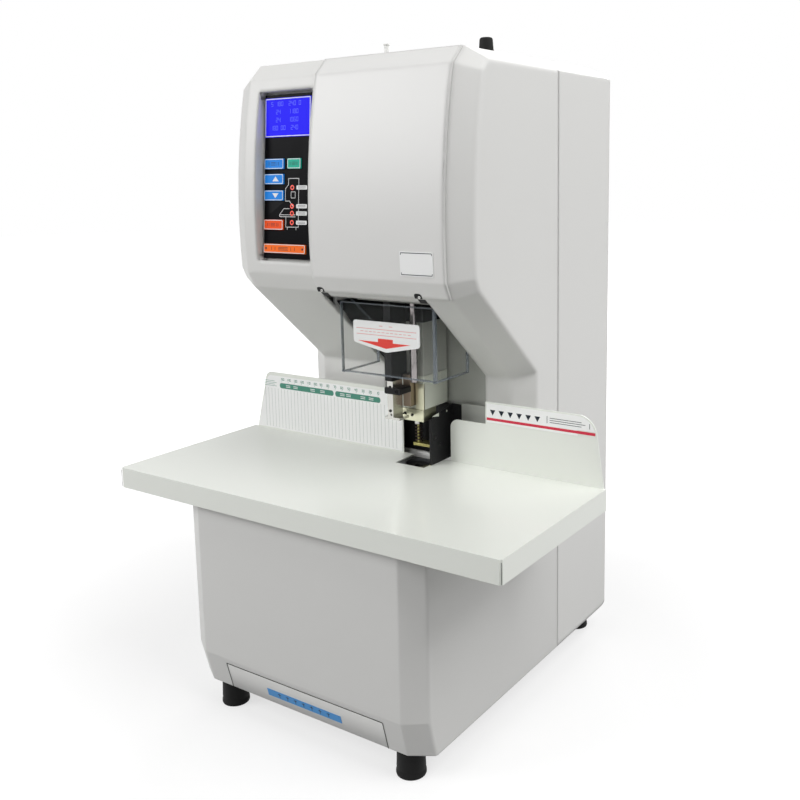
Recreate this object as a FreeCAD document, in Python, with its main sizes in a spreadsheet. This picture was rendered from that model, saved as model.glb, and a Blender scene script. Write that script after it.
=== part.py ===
import FreeCAD, Part
import math
import os
import re

import Sketcher

# Document riveting machine: a desk machine that drills a stack of paper and closes it with a nylon tube.
# Millimetres and degrees. X runs to the right, Y to the back, Z up. The origin is on the floor,
# in the middle of the machine's width and depth. A setback is measured from the table's front edge.

SIZES = {
    # whole machine
    "machine_depth": 400, "table_top": 242, "body_width": 287, "wall": 3, "bevel": 22, "bevel_depth": 13,
    "body_offset": -3.5,
    "overrun": 5, "clearance": 0.3, "play": 0.05, "seam_gap": 0.8, "tool_offset": 25,
    "tool_setback": 176, "crease_radius": 4,
    # table and its fences, one folded sheet
    "table_width": 452, "fence_setback": 192, "table_skirt": 21, "sheet": 1.5, "table_corner": 2,
    "fence_height": 68, "low_fence_height": 45, "left_gap": 31, "right_gap": 29,
    "left_inset": 6, "right_inset": 2, "left_lean": 16, "right_lean": 7, "fence_corner": 9,
    "tab_corner": 20, "low_fence_run": 42, "notch_width": 36, "notch_depth": 33,
    "bracket_width": 14, "bracket_inset": 70, "bracket_setback": 40, "bracket_length": 150,
    "label_thickness": 0.3, "label_margin": 1.5, "ruler_height": 64, "limit_height": 19,
    # front shell of the head and column
    "head_top_rise": 403, "column_setback": 206, "seam_setback": 263, "column_height_rise": 91,
    "underside_angle": 41, "under_setback": 102, "chin_rise": 15.6, "chin_setback": 94,
    "brow_drop": 16, "brow_setback": 109, "crown_setback": 125, "front_radius": 650,
    "mouth_width": 126, "mouth_setback": 108, "ear_half": 9, "ear_rise": 7,
    # visor
    "visor_width": 155, "visor_skin": 2.7, "visor_round": 1.2,
    # name plate
    "plate_width": 36, "plate_height": 22, "plate_thickness": 0.6, "plate_inset": 12,
    # control panel
    "cheek_margin": 37, "recess_width": 70, "recess_rise": 12, "recess_sink": 7,
    "panel_thickness": 3, "panel_edge": 2.5, "display_width": 60,
    "display_thickness": 1, "key_width": 25.5, "key_cap": 1.6,
    "key_margin": 1.2, "key_step": 30.7, "green_width": 17.3,
    "pocket_floor": 0.5, "key_back": 1.3,
    "bar_width": 55.2,
    "board_gap": 8, "board_thickness": 1.6, "board_width": 60, "post_radius": 2.5,
    # base shell, bottom plate, drawer
    "base_setback": 10, "base_break": 64, "base_bottom": 30, "base_tuck": 9, "lid_drop": 1,
    "bottom_sheet": 3, "bottom_rise": 2, "drawer_width": 194, "drawer_top": 58,
    "drawer_depth": 190, "drawer_wall": 2, "drawer_skin": 3,
    "runner_width": 8, "runner_height": 10,
    "strip_width": 92, "strip_height": 8, "strip_rise": 8,
    # feet
    "foot_radius": 14, "foot_taper": 12, "foot_inset_side": 32, "foot_inset_front": 28,
    "foot_inset_rear": 26, "screw_radius": 2.5, "screw_head": 4.5,
    "screw_head_height": 3, "foot_recess": 6,
    # rear cover
    "rear_round": 24, "vent_width": 90, "vent_height": 4, "vent_pitch": 12, "vent_low": 462,
    "vent_count": 8, "fan_height": 322, "fan_size": 80, "fan_depth": 25, "fan_bore": 38,
    "rotor_radius": 36.5, "rotor_hub": 14, "rotor_depth": 16, "blade_thickness": 2, "fan_axle": 3,
    "grille_slot": 4, "grille_pitch": 9, "grille_count": 7, "cover_screw_inset": 40,
    "cover_screw_low": 112, "cover_screw_step": 220, "cover_head": 1.4,
    # power entry in the rear cover
    "entry_x": -80, "entry_height": 92, "inlet_width": 48, "inlet_height": 24, "inlet_depth": 22,
    "flange": 1.6, "flange_edge": 2, "pin_radius": 2.4, "pin_length": 14, "socket_edge": 6,
    "switch_width": 26, "switch_height": 23, "switch_gap": 4, "switch_depth": 17, "switch_wall": 1.5,
    "rocker_tilt": 12, "rocker_sink": 7, "rocker_face": 5, "rocker_half": 8, "rocker_back": 3,
    "rocker_pin": 1.5, "socket_depth": 18,
    # die under the table
    "die_hole": 13.5, "die_width": 60, "die_front": 24, "die_rear": 15,
    "pad_thickness": 8, "pad_sink": 3, "pad_bore": 4.5, "chute_wall": 1.5, "chute_bottom": 62,
    "deck_hole": 20,
    # black housing behind the notch
    "housing_sheet": 2, "housing_height": 56, "housing_overlap": 8, "side_plate_gap": 4,
    "side_plate_front": 168, "side_plate_slope": 8, "strip_bar": 3, "strip_rise_bar": 9,
    "strip_bar_left": 4, "strip_bar_right": 40, "coil_x": 8.5, "coil_setback": 200,
    "coil_radius": 3.4, "coil_wire": 0.6, "coil_turns": 8, "coil_height": 27, "coil_pin": 1.6,
    # guard of clear sheet
    "guard_width": 114, "guard_setback": 126, "guard_depth": 58, "guard_bottom_rise": 98,
    "guard_top_rise": 169, "guard_rear_height_rise": 135, "guard_step": 17, "guard_sheet": 3,
    "guard_pivot": 9,
    "guard_pivot_rise": 7, "guard_ear": 5, "pivot_radius": 2,
    # pointer plate on the guard
    "pointer_width": 80, "pointer_low_rise": 122, "pointer_shoulder_rise": 130, "pointer_top_rise": 152,
    "pointer_thickness": 1,
    # ram and its two tool stations
    "ram_left": 14, "ram_right": 40, "ram_front": 166, "ram_rear": 208,
    "ram_bottom_rise": 58, "ram_top_rise": 170, "arm_thickness": 12, "arm_left": -20,
    "arm_right": 74, "arm_front": 138,
    "block_left": 11, "block_right": 19.5, "block_front": 140, "block_bottom_rise": 90,
    "foot_left": 13.5, "foot_right": 20.5, "foot_rear": 156, "foot_low_rise": 51,
    "foot_plate": 2.5, "foot_plate_left": 10, "foot_plate_right": 28, "foot_screw": 1.2,
    "strap_low_rise": 75, "strap_high_rise": 87, "strap_sheet": 2, "strap_right": 31,
    "heater_low_rise": 62, "heater_height": 33, "heater_front": 156.5, "heater_left": 21, "heater_right": 30,
    "rod_x": 34, "rod_setback": 158, "rod_radius": 3.8, "rod_bore": 3.1, "rod_low_rise": 88,
    "bracket_low_rise": 46, "bracket_left": 14, "bracket_right": 41,
    "bracket_face": 163, "bracket_back": 186, "bracket_bore": 5, "lug_left": 31,
    "lug_right": 41, "lug_top_rise": 85, "lug_sheet": 2,
    # drive in the head
    "drill_radius": 3.6, "drill_bore": 2.7, "drill_low_rise": 40, "drill_high_rise": 80, "spindle_radius": 8,
    "spindle_high_rise": 270, "pulley_low_rise": 246, "pulley_height": 10, "spindle_pulley": 14,
    "spindle_low_rise": 70,
    "motor_pulley": 11, "belt_thickness": 1.6, "motor_offset": 34,
    "motor_radius": 17, "motor_height": 56, "motor_shaft": 3, "shaft_bite": 10,
    "slide_width": 94, "slide_front": 222, "slide_rear": 248, "slide_low_rise": 154, "slide_high_rise": 210,
    "screw_setback": 236, "lead_radius": 5, "guide_spread": 32, "guide_radius": 6,
    "guide_low_rise": 50, "frame_wall": 6, "frame_width": 116, "frame_front": 218, "frame_rear": 256,
    "frame_top_rise": 340, "frame_foot": 8, "frame_foot_depth": 60, "shelf": 8,
    "lift_size": 42, "lift_height": 50,

    # feed of the nylon tube and the holder of spare tubes, on top
    "feed_x": 12, "feed_setback": 155, "bush_radius": 7, "bush_stem": 5, "bush_height": 1.5, "bush_depth": 12,
    "tube_radius": 2.6, "tube_bore": 1.8, "tube_rise": 13, "tube_lip": 0.8, "hose_radius": 2.8,
    "hose_bore": 2.1, "hose_bend_high_rise": 350, "hose_bend_low_rise": 290, "hose_low_rise": 102,
    "holder_x": 100, "holder_setback": 193, "holder_radius": 9, "holder_bore": 7, "holder_depth": 120,
    "cap_radius": 7.5, "cap_top_radius": 6, "cap_height": 14, "cap_plug": 6.7, "cap_plug_depth": 8,
    "holder_collar": 1,
    # transformer on the bottom plate
    "core_width": 76, "core_depth": 64, "core_height": 62, "core_x": -76, "core_setback": 310,
    "winding_width": 44, "winding_depth": 84, "winding_height": 40,
}
SHARES = {
    "grille_side_share": 0.92, "blade_reach_share": 0.97, "plate_lift_share": 0.03,
    "display_low_share": 0.735, "display_high_share": 0.964, "key_share": 0.06, "bar_share": 0.054,
    "row_one_share": 0.548, "row_two_share": 0.458, "row_three_share": 0.361, "row_four_share": 0.187,
    "row_five_share": 0.048,
}

DERIVED = {
    "key_height": "recess_height * key_share",
    "bar_height": "recess_height * bar_share",
    "row_one": "recess_height * row_one_share",
    "row_two": "recess_height * row_two_share",
    "row_three": "recess_height * row_three_share",
    "row_four": "recess_height * row_four_share",
    "row_five": "recess_height * row_five_share",
    "plate_rise": "chin_height + (brow_height - chin_height) * plate_lift_share",
    "column_height": "table_top + column_height_rise",
    "guard_bottom": "table_top + guard_bottom_rise",
    "guard_top": "table_top + guard_top_rise",
    "guard_rear_height": "table_top + guard_rear_height_rise",
    "pointer_low": "table_top + pointer_low_rise",
    "pointer_shoulder": "table_top + pointer_shoulder_rise",
    "pointer_top": "table_top + pointer_top_rise",
    "ram_bottom": "table_top + ram_bottom_rise",
    "ram_top": "table_top + ram_top_rise",
    "block_bottom": "table_top + block_bottom_rise",
    "foot_low": "table_top + foot_low_rise",
    "strap_low": "table_top + strap_low_rise",
    "strap_high": "table_top + strap_high_rise",
    "heater_low": "table_top + heater_low_rise",
    "rod_low": "table_top + rod_low_rise",
    "bracket_low": "table_top + bracket_low_rise",
    "lug_top": "table_top + lug_top_rise",
    "drill_low": "table_top + drill_low_rise",
    "drill_high": "table_top + drill_high_rise",
    "spindle_high": "table_top + spindle_high_rise",
    "pulley_low": "table_top + pulley_low_rise",
    "spindle_low": "table_top + spindle_low_rise",
    "slide_low": "table_top + slide_low_rise",
    "slide_high": "table_top + slide_high_rise",
    "guide_low": "table_top + guide_low_rise",
    "frame_top": "table_top + frame_top_rise",
    "hose_bend_high": "table_top + hose_bend_high_rise",
    "hose_bend_low": "table_top + hose_bend_low_rise",
    "hose_low": "table_top + hose_low_rise",
    "head_top": "table_top + head_top_rise",
    "chin_height": "under_height + chin_rise",
    "brow_height": "head_top - brow_drop",
    "front": "-machine_depth / 2",
    "rear": "machine_depth / 2",
    "tool": "tool_offset",
    "tool_y": "front + tool_setback",
    "half_table": "table_width / 2",
    "half_body": "body_width / 2",
    "half_inner": "half_body - wall",
    "bevel_lean": "bevel / bevel_depth",
    "inner_bevel": "bevel - wall * (1 + bevel_lean - sqrt(1 + bevel_lean ^ 2))",
    "inner_depth": "bevel_depth - wall * (1 + 1 / bevel_lean - sqrt(1 + 1 / bevel_lean ^ 2))",
    "body_left": "body_offset - half_body",
    "body_right": "body_offset + half_body",
    "fence": "front + fence_setback",
    "sheet_top": "table_top - sheet",
    "seam": "front + seam_setback",
    "rear_seam": "seam + seam_gap",
    "rear_skin": "rear - flange",
    "column_front": "front + column_setback",
    "under_front": "front + under_setback",
    "under_height": "column_height + (column_setback - under_setback) * tan(underside_angle)",
    "chin": "front + chin_setback",
    "brow": "front + brow_setback",
    "crown": "front + crown_setback",
    "lid_height": "table_top - table_skirt - lid_drop",
    "mouth_low": "tool - mouth_width / 2",
    "mouth_high": "tool + mouth_width / 2",
    "visor_right": "body_right - bevel",
    "visor_left": "visor_right - visor_width",
    "visor_gap": "clearance",
    "recess_left": "body_left + cheek_margin",
    "recess_low": "chin_height + recess_rise",
    "recess_height": "brow_height - chin_height - 2 * recess_rise",
    "front_slope": "atan((brow_setback - chin_setback) / (brow_height - chin_height)) / (1 deg)",
    "recess_y": "chin + recess_sink + recess_rise * tan(front_slope)",
    "base_front": "front + base_setback",
    "plate_low": "base_bottom + bottom_rise",
    "floor_high": "plate_low + bottom_sheet",
    "guard_front": "front + guard_setback",
    "guard_left": "tool - guard_width / 2",
    "guard_right": "tool + guard_width / 2",
    "pivot_y": "guard_front + guard_pivot",
    "pivot_z": "guard_top + guard_pivot_rise",
    "rod_y": "front + rod_setback",
    "screw_y": "front + screw_setback",
    "arm_high": "ram_top + arm_thickness",
    "motor_x": "tool + motor_offset",
    "feed_y": "front + feed_setback",
    "holder_y": "front + holder_setback",
    "inner_top": "head_top - wall",
}

# Two faces closer than this are taken as one.
TOUCH = 0.001

doc = FreeCAD.newDocument("riveting_machine")
dims = doc.addObject("Spreadsheet::Sheet", "Dims")
nodes = []


def fill_sheet():
    """Put every driving size into the sheet, one row each, with its alias."""
    for row, (name, number) in enumerate({**SIZES, **SHARES}.items(), start=1):
        dims.set(f"A{row}", name)
        dims.set(f"B{row}", str(number))
        dims.setAlias(f"B{row}", name)
    doc.recompute()


def full(text):
    """Write an expression out: derived names are expanded and sheet names get their prefix."""
    def swap(match):
        word = match.group(0)
        if word in DERIVED:
            return "(" + full(DERIVED[word]) + ")"
        return "Dims." + word if word in SIZES or word in SHARES else word
    return re.sub(r"[a-z_][a-z_0-9]*", swap, str(text))


def value(text):
    """The number that an expression gives with the present sizes."""
    return float(dims.evalExpression(full(text)))


def bind(thing, **expressions):
    """Bind properties of an object to expressions. Two underscores stand for a point."""
    for path, text in expressions.items():
        thing.setExpression(path.replace("__", "."), full(text))
    return thing


def place(thing, x, y, z, axis=None, turn=0):
    """Put an object at three expressions, turned about an axis by degrees or by an expression."""
    if axis:
        thing.Placement = FreeCAD.Placement(FreeCAD.Vector(), FreeCAD.Rotation(axis, value(turn)))
        if isinstance(turn, str):
            bind(thing, Placement__Rotation__Angle=turn)
    return bind(thing, Placement__Base__x=x, Placement__Base__y=y, Placement__Base__z=z)


def block(x, y, z):
    """A box between a low and a high expression along each axis."""
    box = doc.addObject("Part::Box", "Block")
    bind(box, Length=f"({x[1]}) - ({x[0]})", Width=f"({y[1]}) - ({y[0]})", Height=f"({z[1]}) - ({z[0]})")
    return place(box, x[0], y[0], z[0])


def rod(axis, at, radius, low, high):
    """A cylinder along X, Y or Z through the point that at gives on the other two axes."""
    bar = doc.addObject("Part::Cylinder", "Rod")
    bind(bar, Radius=radius, Height=f"({high}) - ({low})")
    if axis == "X":
        return place(bar, low, at[0], at[1], FreeCAD.Vector(0, 1, 0), 90)
    if axis == "Y":
        return place(bar, at[0], low, at[1], FreeCAD.Vector(1, 0, 0), -90)
    return place(bar, at[0], at[1], low)


def cone(at, low_radius, high_radius, low, high):
    taper = doc.addObject("Part::Cone", "Taper")
    bind(taper, Radius1=low_radius, Radius2=high_radius, Height=f"({high}) - ({low})")
    return place(taper, at[0], at[1], low)


def fuse(*parts):
    if len(parts) == 1:
        return parts[0]
    joined = doc.addObject("Part::MultiFuse", "Joined")
    joined.Shapes = list(parts)
    return joined


def common(*parts):
    shared = doc.addObject("Part::MultiCommon", "Shared")
    shared.Shapes = list(parts)
    return shared


def cut(base, *tools):
    rest = doc.addObject("Part::Cut", "Rest")
    rest.Base = base
    rest.Tool = fuse(*tools)
    return rest


def group(*parts):
    """Separate solids that belong to one node."""
    together = doc.addObject("Part::Compound", "Group")
    together.Links = list(parts)
    return together


def node(thing, label):
    """Name a finished sub-part and put it on the list of files."""
    thing.Label = label
    nodes.append(thing)
    return thing


def sketch_on(body, plane, height):
    """A sketch on one of the body's own planes, raised by an expression along its normal."""
    sketch = body.newObject("Sketcher::SketchObject", "Outline")
    support = next(item for item in body.Origin.OriginFeatures if item.Role == plane + "_Plane")
    sketch.AttachmentSupport = (support, "")
    sketch.MapMode = "FlatFace"
    return bind(sketch, AttachmentOffset__Base__z=f"0 - ({height})" if plane == "XZ" else height)


def pin_point(sketch, geometry, end, at):
    """Fix one end of a line or arc at an (x, y) pair of expressions."""
    for kind, text in zip(("DistanceX", "DistanceY"), at):
        index = sketch.addConstraint(Sketcher.Constraint(kind, -1, 1, geometry, end, value(text)))
        name = f"{kind}{geometry}_{end}"
        sketch.renameConstraint(index, name)
        sketch.setExpression(f"Constraints.{name}", full(text))


def draw(sketch, outline):
    """Draw a closed outline of (x, y) points. A point with a radius starts an arc to the next one,
    which bulges to the left of the direction of travel, or to the right below zero."""
    for index, point in enumerate(outline):
        following = outline[(index + 1) % len(outline)]
        start = FreeCAD.Vector(value(point[0]), value(point[1]), 0)
        stop = FreeCAD.Vector(value(following[0]), value(following[1]), 0)
        if len(point) == 2:
            line = sketch.addGeometry(Part.LineSegment(start, stop), False)
            pin_point(sketch, line, 1, point)
            pin_point(sketch, line, 2, following)
            continue
        radius = abs(value(point[2]))
        chord = stop - start
        half = chord.Length / 2
        side = FreeCAD.Vector(-chord.y, chord.x, 0).normalize() * math.copysign(1, value(point[2]))
        bulge = side * (radius - math.sqrt(radius * radius - half * half))
        curve = sketch.addGeometry(Part.Arc(start, (start + stop) / 2 + bulge, stop), False)
        ends = (1, 2) if sketch.getPoint(curve, 1).distanceToPoint(start) < half else (2, 1)
        pin_point(sketch, curve, ends[0], point)
        pin_point(sketch, curve, ends[1], following)
        index = sketch.addConstraint(Sketcher.Constraint("Radius", curve, radius))
        sketch.renameConstraint(index, f"Radius{curve}")
        sketch.setExpression(f"Constraints.Radius{curve}", full(f"abs({point[2]})"))


def prism(plane, outline, low, high):
    """A body whose outline lies in a plane, padded from low to high across it."""
    body = doc.addObject("PartDesign::Body", "Prism")
    sketch = sketch_on(body, plane, high if plane == "XZ" else low)
    draw(sketch, outline)
    pad = body.newObject("PartDesign::Pad", "Pad")
    pad.Profile = sketch
    bind(pad, Length=f"({high}) - ({low})")
    doc.recompute()
    return body


def dress(body, kind, size, chosen, second=None):
    """Add a Fillet or a Chamfer to the chosen edges of a body; a Chamfer may have two sizes."""
    base = body.Tip
    feature = body.newObject("PartDesign::" + kind, kind)
    names = [f"Edge{index}" for index, edge in enumerate(base.Shape.Edges, start=1) if chosen(edge)]
    feature.Base = (base, names)
    bind(feature, **{"Radius" if kind == "Fillet" else "Size": size})
    if second:
        feature.ChamferType = "Two distances"
        bind(feature, Size2=second)
    doc.recompute()
    return body


def flat_at(edge, axis, place_of):
    """Whether an edge lies in the plane where an axis has the value of an expression."""
    box = edge.BoundBox
    low, high = getattr(box, axis + "Min"), getattr(box, axis + "Max")
    return abs(low - value(place_of)) < TOUCH and abs(high - value(place_of)) < TOUCH


def casing(outline, half_width, bevel, depth, open_planes, rounded):
    """A solid with a side outline, bevelled along its sides except in its open planes."""
    left, right = f"body_offset - {half_width}", f"body_offset + {half_width}"
    body = prism("YZ", outline, left, right)

    def covered(edge):
        return not any(flat_at(edge, axis, at) for axis, at in open_planes)

    def on_side(edge):
        return flat_at(edge, "X", left) or flat_at(edge, "X", right)

    dress(body, "Chamfer", bevel, lambda edge: on_side(edge) and covered(edge), depth)
    if rounded:
        dress(body, "Fillet", "crease_radius", covered)
    return body


def tilt_block(x, y, z):
    """A box in the panel's own frame: X from the recess's left side, Y into the panel, Z up its slope."""
    box = doc.addObject("Part::Box", "Tilted")
    bind(box, Length=f"({x[1]}) - ({x[0]})", Width=f"({y[1]}) - ({y[0]})", Height=f"({z[1]}) - ({z[0]})")
    deep = f"recess_y + ({y[0]}) * cos(front_slope) + ({z[0]}) * sin(front_slope)"
    high = f"recess_low - ({y[0]}) * sin(front_slope) + ({z[0]}) * cos(front_slope)"
    return place(box, f"recess_left + ({x[0]})", deep, high, FreeCAD.Vector(1, 0, 0), "0 - front_slope")


def head_shell():
    """One moulded shell: the head, its underside and the front of the column."""
    outer = casing([
        ("seam", "lid_height"), ("column_front", "lid_height"), ("column_front", "column_height"),
        ("under_front", "under_height"), ("chin", "chin_height", "front_radius"), ("brow", "brow_height"),
        ("crown", "head_top"), ("seam", "head_top")],
        "half_body", "bevel", "bevel_depth", [("Y", "seam"), ("Z", "lid_height")], True)
    rise = "wall / cos(underside_angle)"
    inner = casing([
        ("seam + overrun", "lid_height - overrun"), ("column_front + wall", "lid_height - overrun"),
        ("column_front + wall", f"column_height + {rise} - wall * tan(underside_angle)"),
        ("under_front + wall", f"under_height + {rise} - wall * tan(underside_angle)"),
        ("chin + wall", "chin_height", "front_radius"), ("brow + wall", "brow_height - wall"),
        ("crown + wall", "inner_top"), ("seam + overrun", "inner_top")],
        "half_inner", "inner_bevel", "inner_depth",
        [("Y", "seam + overrun"), ("Z", "lid_height - overrun")], False)
    edge = ("0 - wall", "recess_width + wall")
    tub = tilt_block(edge, ("0 - bevel", "wall"), ("0 - wall", "recess_height + wall"))
    recess = tilt_block(("0", "recess_width"), ("0 - bevel - wall", "0"), ("0", "recess_height"))
    ear_y = ("pivot_y - ear_half", "pivot_y + ear_half")
    ear_z = ("column_height", "pivot_z + ear_rise")
    left_ear = block(("mouth_low - wall", "mouth_low"), ear_y, ear_z)
    right_ear = block(("mouth_high", "mouth_high + wall"), ear_y, ear_z)
    solid = fuse(cut(outer, inner), common(outer, fuse(tub, left_ear, right_ear)))
    mouth = block(("mouth_low", "mouth_high"), ("front + mouth_setback", "column_front + wall + overrun"),
                  ("table_top", "chin_height"))
    top = ("inner_top - overrun", "head_top + overrun")
    bush = rod("Z", ("feed_x", "feed_y"), "bush_stem", *top)
    holder = rod("Z", ("holder_x", "holder_y"), "holder_radius", *top)
    pivot = rod("X", ("pivot_y", "pivot_z"), "pivot_radius", "mouth_low - overrun", "mouth_high + overrun")
    node(cut(solid, recess, mouth, bush, holder, pivot), "head_shell")


def front_layer(inner, outer, left, right):
    """A strip over the head's front between two distances from it."""
    return prism("YZ", [
        (f"under_front - ({inner})", "under_height"), (f"under_front - ({outer})", "under_height"),
        (f"chin - ({outer})", "chin_height", "front_radius"), (f"brow - ({outer})", "brow_height"),
        (f"crown - ({outer})", "head_top"), (f"crown - ({inner})", "head_top"),
        (f"brow - ({inner})", "brow_height", "0 - front_radius"), (f"chin - ({inner})", "chin_height")],
        left, right)


def visor():
    """A moulded strip over the middle of the head's front, with the blank plate on it."""
    thick = "visor_gap + visor_skin"
    body = front_layer("visor_gap", thick, "visor_left", "visor_right")

    def outer_long(edge):
        box = edge.BoundBox
        tall = box.ZLength > value("(brow_height - chin_height) / 2")
        return tall and box.YMin < value("chin - visor_skin")

    node(dress(body, "Fillet", "visor_round", outer_long), "visor")
    right = "visor_right - plate_inset"
    layer = front_layer(thick, f"{thick} + plate_thickness", f"{right} - plate_width", right)
    band = block((f"{right} - plate_width", right), ("front", "column_front"),
                 ("plate_rise", "plate_rise + plate_height"))
    node(common(layer, band), "name_plate")


def base_shell():
    """The moulded base around the drawer, open below and at the seam."""
    tuck = "base_front + base_tuck"
    open_planes = [("Y", "seam"), ("Z", "lid_height"), ("Z", "base_bottom")]
    outer = casing([("seam", "base_bottom"), (tuck, "base_bottom"), ("base_front", "base_break"),
                    ("base_front", "lid_height"), ("seam", "lid_height")],
                   "half_body", "bevel", "bevel_depth", open_planes, True)
    low = "base_bottom - overrun"
    ceiling, open_seam = "lid_height - wall", "seam + overrun"
    below = f"{tuck} + wall + overrun * base_tuck / (base_break - base_bottom)"
    inner = casing([(open_seam, low), (below, low), ("base_front + wall", "base_break"),
                    ("base_front + wall", ceiling), (open_seam, ceiling)],
                   "half_inner", "inner_bevel", "inner_depth",
                   [("Y", open_seam), ("Z", ceiling), ("Z", low)], False)
    gap = "drawer_width / 2 + clearance"
    mouth = block((f"0 - ({gap})", gap), ("front", "base_front + bevel"), (low, "drawer_top + clearance"))
    chute = rod("Z", ("tool", "tool_y"), "deck_hole", "lid_height - wall - overrun", "lid_height + overrun")
    well = block(("tool - frame_width / 2 - wall", "tool + frame_width / 2 + wall"),
                 ("front + frame_front - wall", "seam + overrun"),
                 ("lid_height - wall - overrun", "lid_height + overrun"))
    node(cut(outer, inner, mouth, chute, well), "base_shell")


def cover_form(inset, low):
    """The rear cover's solid: its side view, top view and back view have one shape in common."""
    back, top = f"rear_skin - {inset}", f"head_top - {inset}"
    left, right = f"body_left + {inset}", f"body_right - {inset}"
    start = "rear_seam" if inset == "0" else "rear_seam - overrun"
    curve = f"rear_round - {inset}"
    cut_off, depth = ("bevel", "bevel_depth") if inset == "0" else ("inner_bevel", "inner_depth")
    side = prism("YZ", [
        (start, low), (start, top), (f"{back} - ({curve})", top, curve), (back, f"{top} - ({curve})"),
        (back, f"base_bottom + rear_round", curve),
        (f"{back} - ({curve})", f"base_bottom + rear_round - ({curve})"), (f"{back} - ({curve})", low)]
        if inset != "0" else [
        (start, low), (start, top), (f"{back} - ({curve})", top, curve), (back, f"{top} - ({curve})"),
        (back, f"base_bottom + rear_round", curve), (f"{back} - ({curve})", low)],
        left, right)
    plan = prism("XY", [
        (left, start), (left, f"{back} - {depth}"), (f"{left} + {cut_off}", back),
        (f"{right} - {cut_off}", back), (right, f"{back} - {depth}"), (right, start)], low, top)
    rise = prism("XZ", [
        (left, low), (left, f"{top} - {depth}"), (f"{left} + {cut_off}", top),
        (f"{right} - {cut_off}", top), (right, f"{top} - {depth}"), (right, low)], start, back)
    return common(side, plan, rise)


def rear_cover():
    """The moulded rear half with vents, the fan's grille and the opening for the power entry."""
    outer = cover_form("0", "base_bottom")
    inner = cover_form("wall", "base_bottom - overrun")
    through = ("rear_skin - wall - overrun", "rear + overrun")
    tools = [inner]
    for index in range(int(SIZES["vent_count"])):
        low = f"vent_low + {index} * vent_pitch"
        tools.append(block(("0 - vent_width / 2", "vent_width / 2"), through, (low, f"{low} + vent_height")))
    bars = []
    middle = int(SIZES["grille_count"]) // 2
    for index in range(-middle, middle + 1):
        low = f"fan_height + {index} * grille_pitch - grille_slot / 2"
        bars.append(block(("0 - fan_bore", "fan_bore"), through, (low, f"{low} + grille_slot")))
    disc = rod("Y", ("0", "fan_height"), "fan_bore * grille_side_share", *through)
    tools.append(common(disc, fuse(*bars)))
    inlet_x, switch_x = entry_spans()
    for span, height in ((inlet_x, "inlet_height / 2"), (switch_x, "switch_height / 2")):
        tools.append(block(span, through, (f"entry_height - {height}", f"entry_height + {height}")))
    sole = block(("body_left + wall", "body_right - wall"), ("rear_seam - overrun", "rear_skin - flange - overrun"),
                 ("base_bottom - overrun", "floor_high"))
    node(cut(outer, *tools, sole), "rear_cover")


def entry_spans():
    """The X ranges of the power inlet and of the switch beside it."""
    switch_low = "entry_x + inlet_width / 2 + switch_gap"
    return (("entry_x - inlet_width / 2", "entry_x + inlet_width / 2"),
            (switch_low, f"{switch_low} + switch_width"))


def foot_places():
    """The centres of the four feet."""
    return [(x, y) for x in ("body_left + foot_inset_side", "body_right - foot_inset_side")
            for y in ("base_front + foot_inset_front", "rear - foot_inset_rear")]


def bottom_plate():
    """Sheet steel under the machine, with the two runners that guide the drawer."""
    start, end = "base_front + bevel_depth + wall", "rear - foot_inset_rear + screw_head + wall"
    left, right = "body_left + wall", "body_right - wall"
    plate = prism("XY", [
        (left, end), (right, end), (right, f"{start} + inner_depth"), (f"{right} - inner_bevel", start),
        (f"{left} + inner_bevel", start), (left, f"{start} + inner_depth")], "plate_low", "floor_high")
    holes = [rod("Z", at, "screw_radius", "plate_low - overrun", "floor_high + overrun")
             for at in foot_places()]
    inner = "drawer_width / 2 + clearance - drawer_wall"
    span = (start, "front + drawer_depth")
    rise = ("floor_high", "floor_high + runner_height")
    left = block((f"0 - ({inner}) - runner_width", f"0 - ({inner})"), span, rise)
    right = block((inner, f"{inner} + runner_width"), span, rise)
    node(fuse(cut(plate, *holes), left, right), "bottom_plate")


def feet():
    """Four tapered rubber feet, each with a recess for its screw's head."""
    made = []
    for at in foot_places():
        foot = cone(at, "foot_radius", "foot_taper", "0", "plate_low")
        recess = rod("Z", at, "screw_head + clearance", "0 - overrun", "foot_recess")
        bore = rod("Z", at, "screw_radius", "0", "plate_low + overrun")
        made.append(cut(foot, recess, bore))
    node(group(*made), "feet")


def foot_screws():
    made = []
    for at in foot_places():
        head = rod("Z", at, "screw_head", "foot_recess - screw_head_height", "foot_recess")
        made.append(fuse(head, rod("Z", at, "screw_radius", "foot_recess", "floor_high")))
    node(group(*made), "foot_screws")


def drawer():
    """The chip tray with its sloping front skin."""
    half = "drawer_width / 2"
    slope = "base_tuck / (base_break - base_bottom)"
    at_top = f"base_front + (base_break - drawer_top) * {slope}"
    skin = prism("YZ", [
        ("base_front + base_tuck", "base_bottom"), (at_top, "drawer_top"),
        (f"{at_top} + drawer_skin", "drawer_top"), ("base_front + base_tuck + drawer_skin", "base_bottom")],
        f"0 - {half}", half)
    low, high = "floor_high + clearance", "drawer_top - drawer_wall"
    inner = f"{half} - drawer_wall"
    start = "base_front + base_tuck + drawer_skin - drawer_wall"
    end = f"{start} + drawer_depth"
    tray = block((f"0 - ({inner})", inner), (start, end), (low, high))
    hollow = block((f"drawer_wall - ({inner})", f"{inner} - drawer_wall"),
                   (f"{start} + drawer_wall", f"{end} - drawer_wall"),
                   (f"{low} + drawer_wall", f"{high} + overrun"))
    node(fuse(skin, cut(tray, hollow)), "drawer")
    lower, upper = "base_bottom + strip_rise", "base_bottom + strip_rise + strip_height"
    near_low = f"base_front + (base_break - ({lower})) * {slope}"
    near_high = f"base_front + (base_break - ({upper})) * {slope}"
    plate = prism("YZ", [
        (f"{near_low} - label_thickness", lower), (f"{near_high} - label_thickness", upper),
        (near_high, upper), (near_low, lower)], "0 - strip_width / 2", "strip_width / 2")
    node(plate, "drawer_strip")


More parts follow.
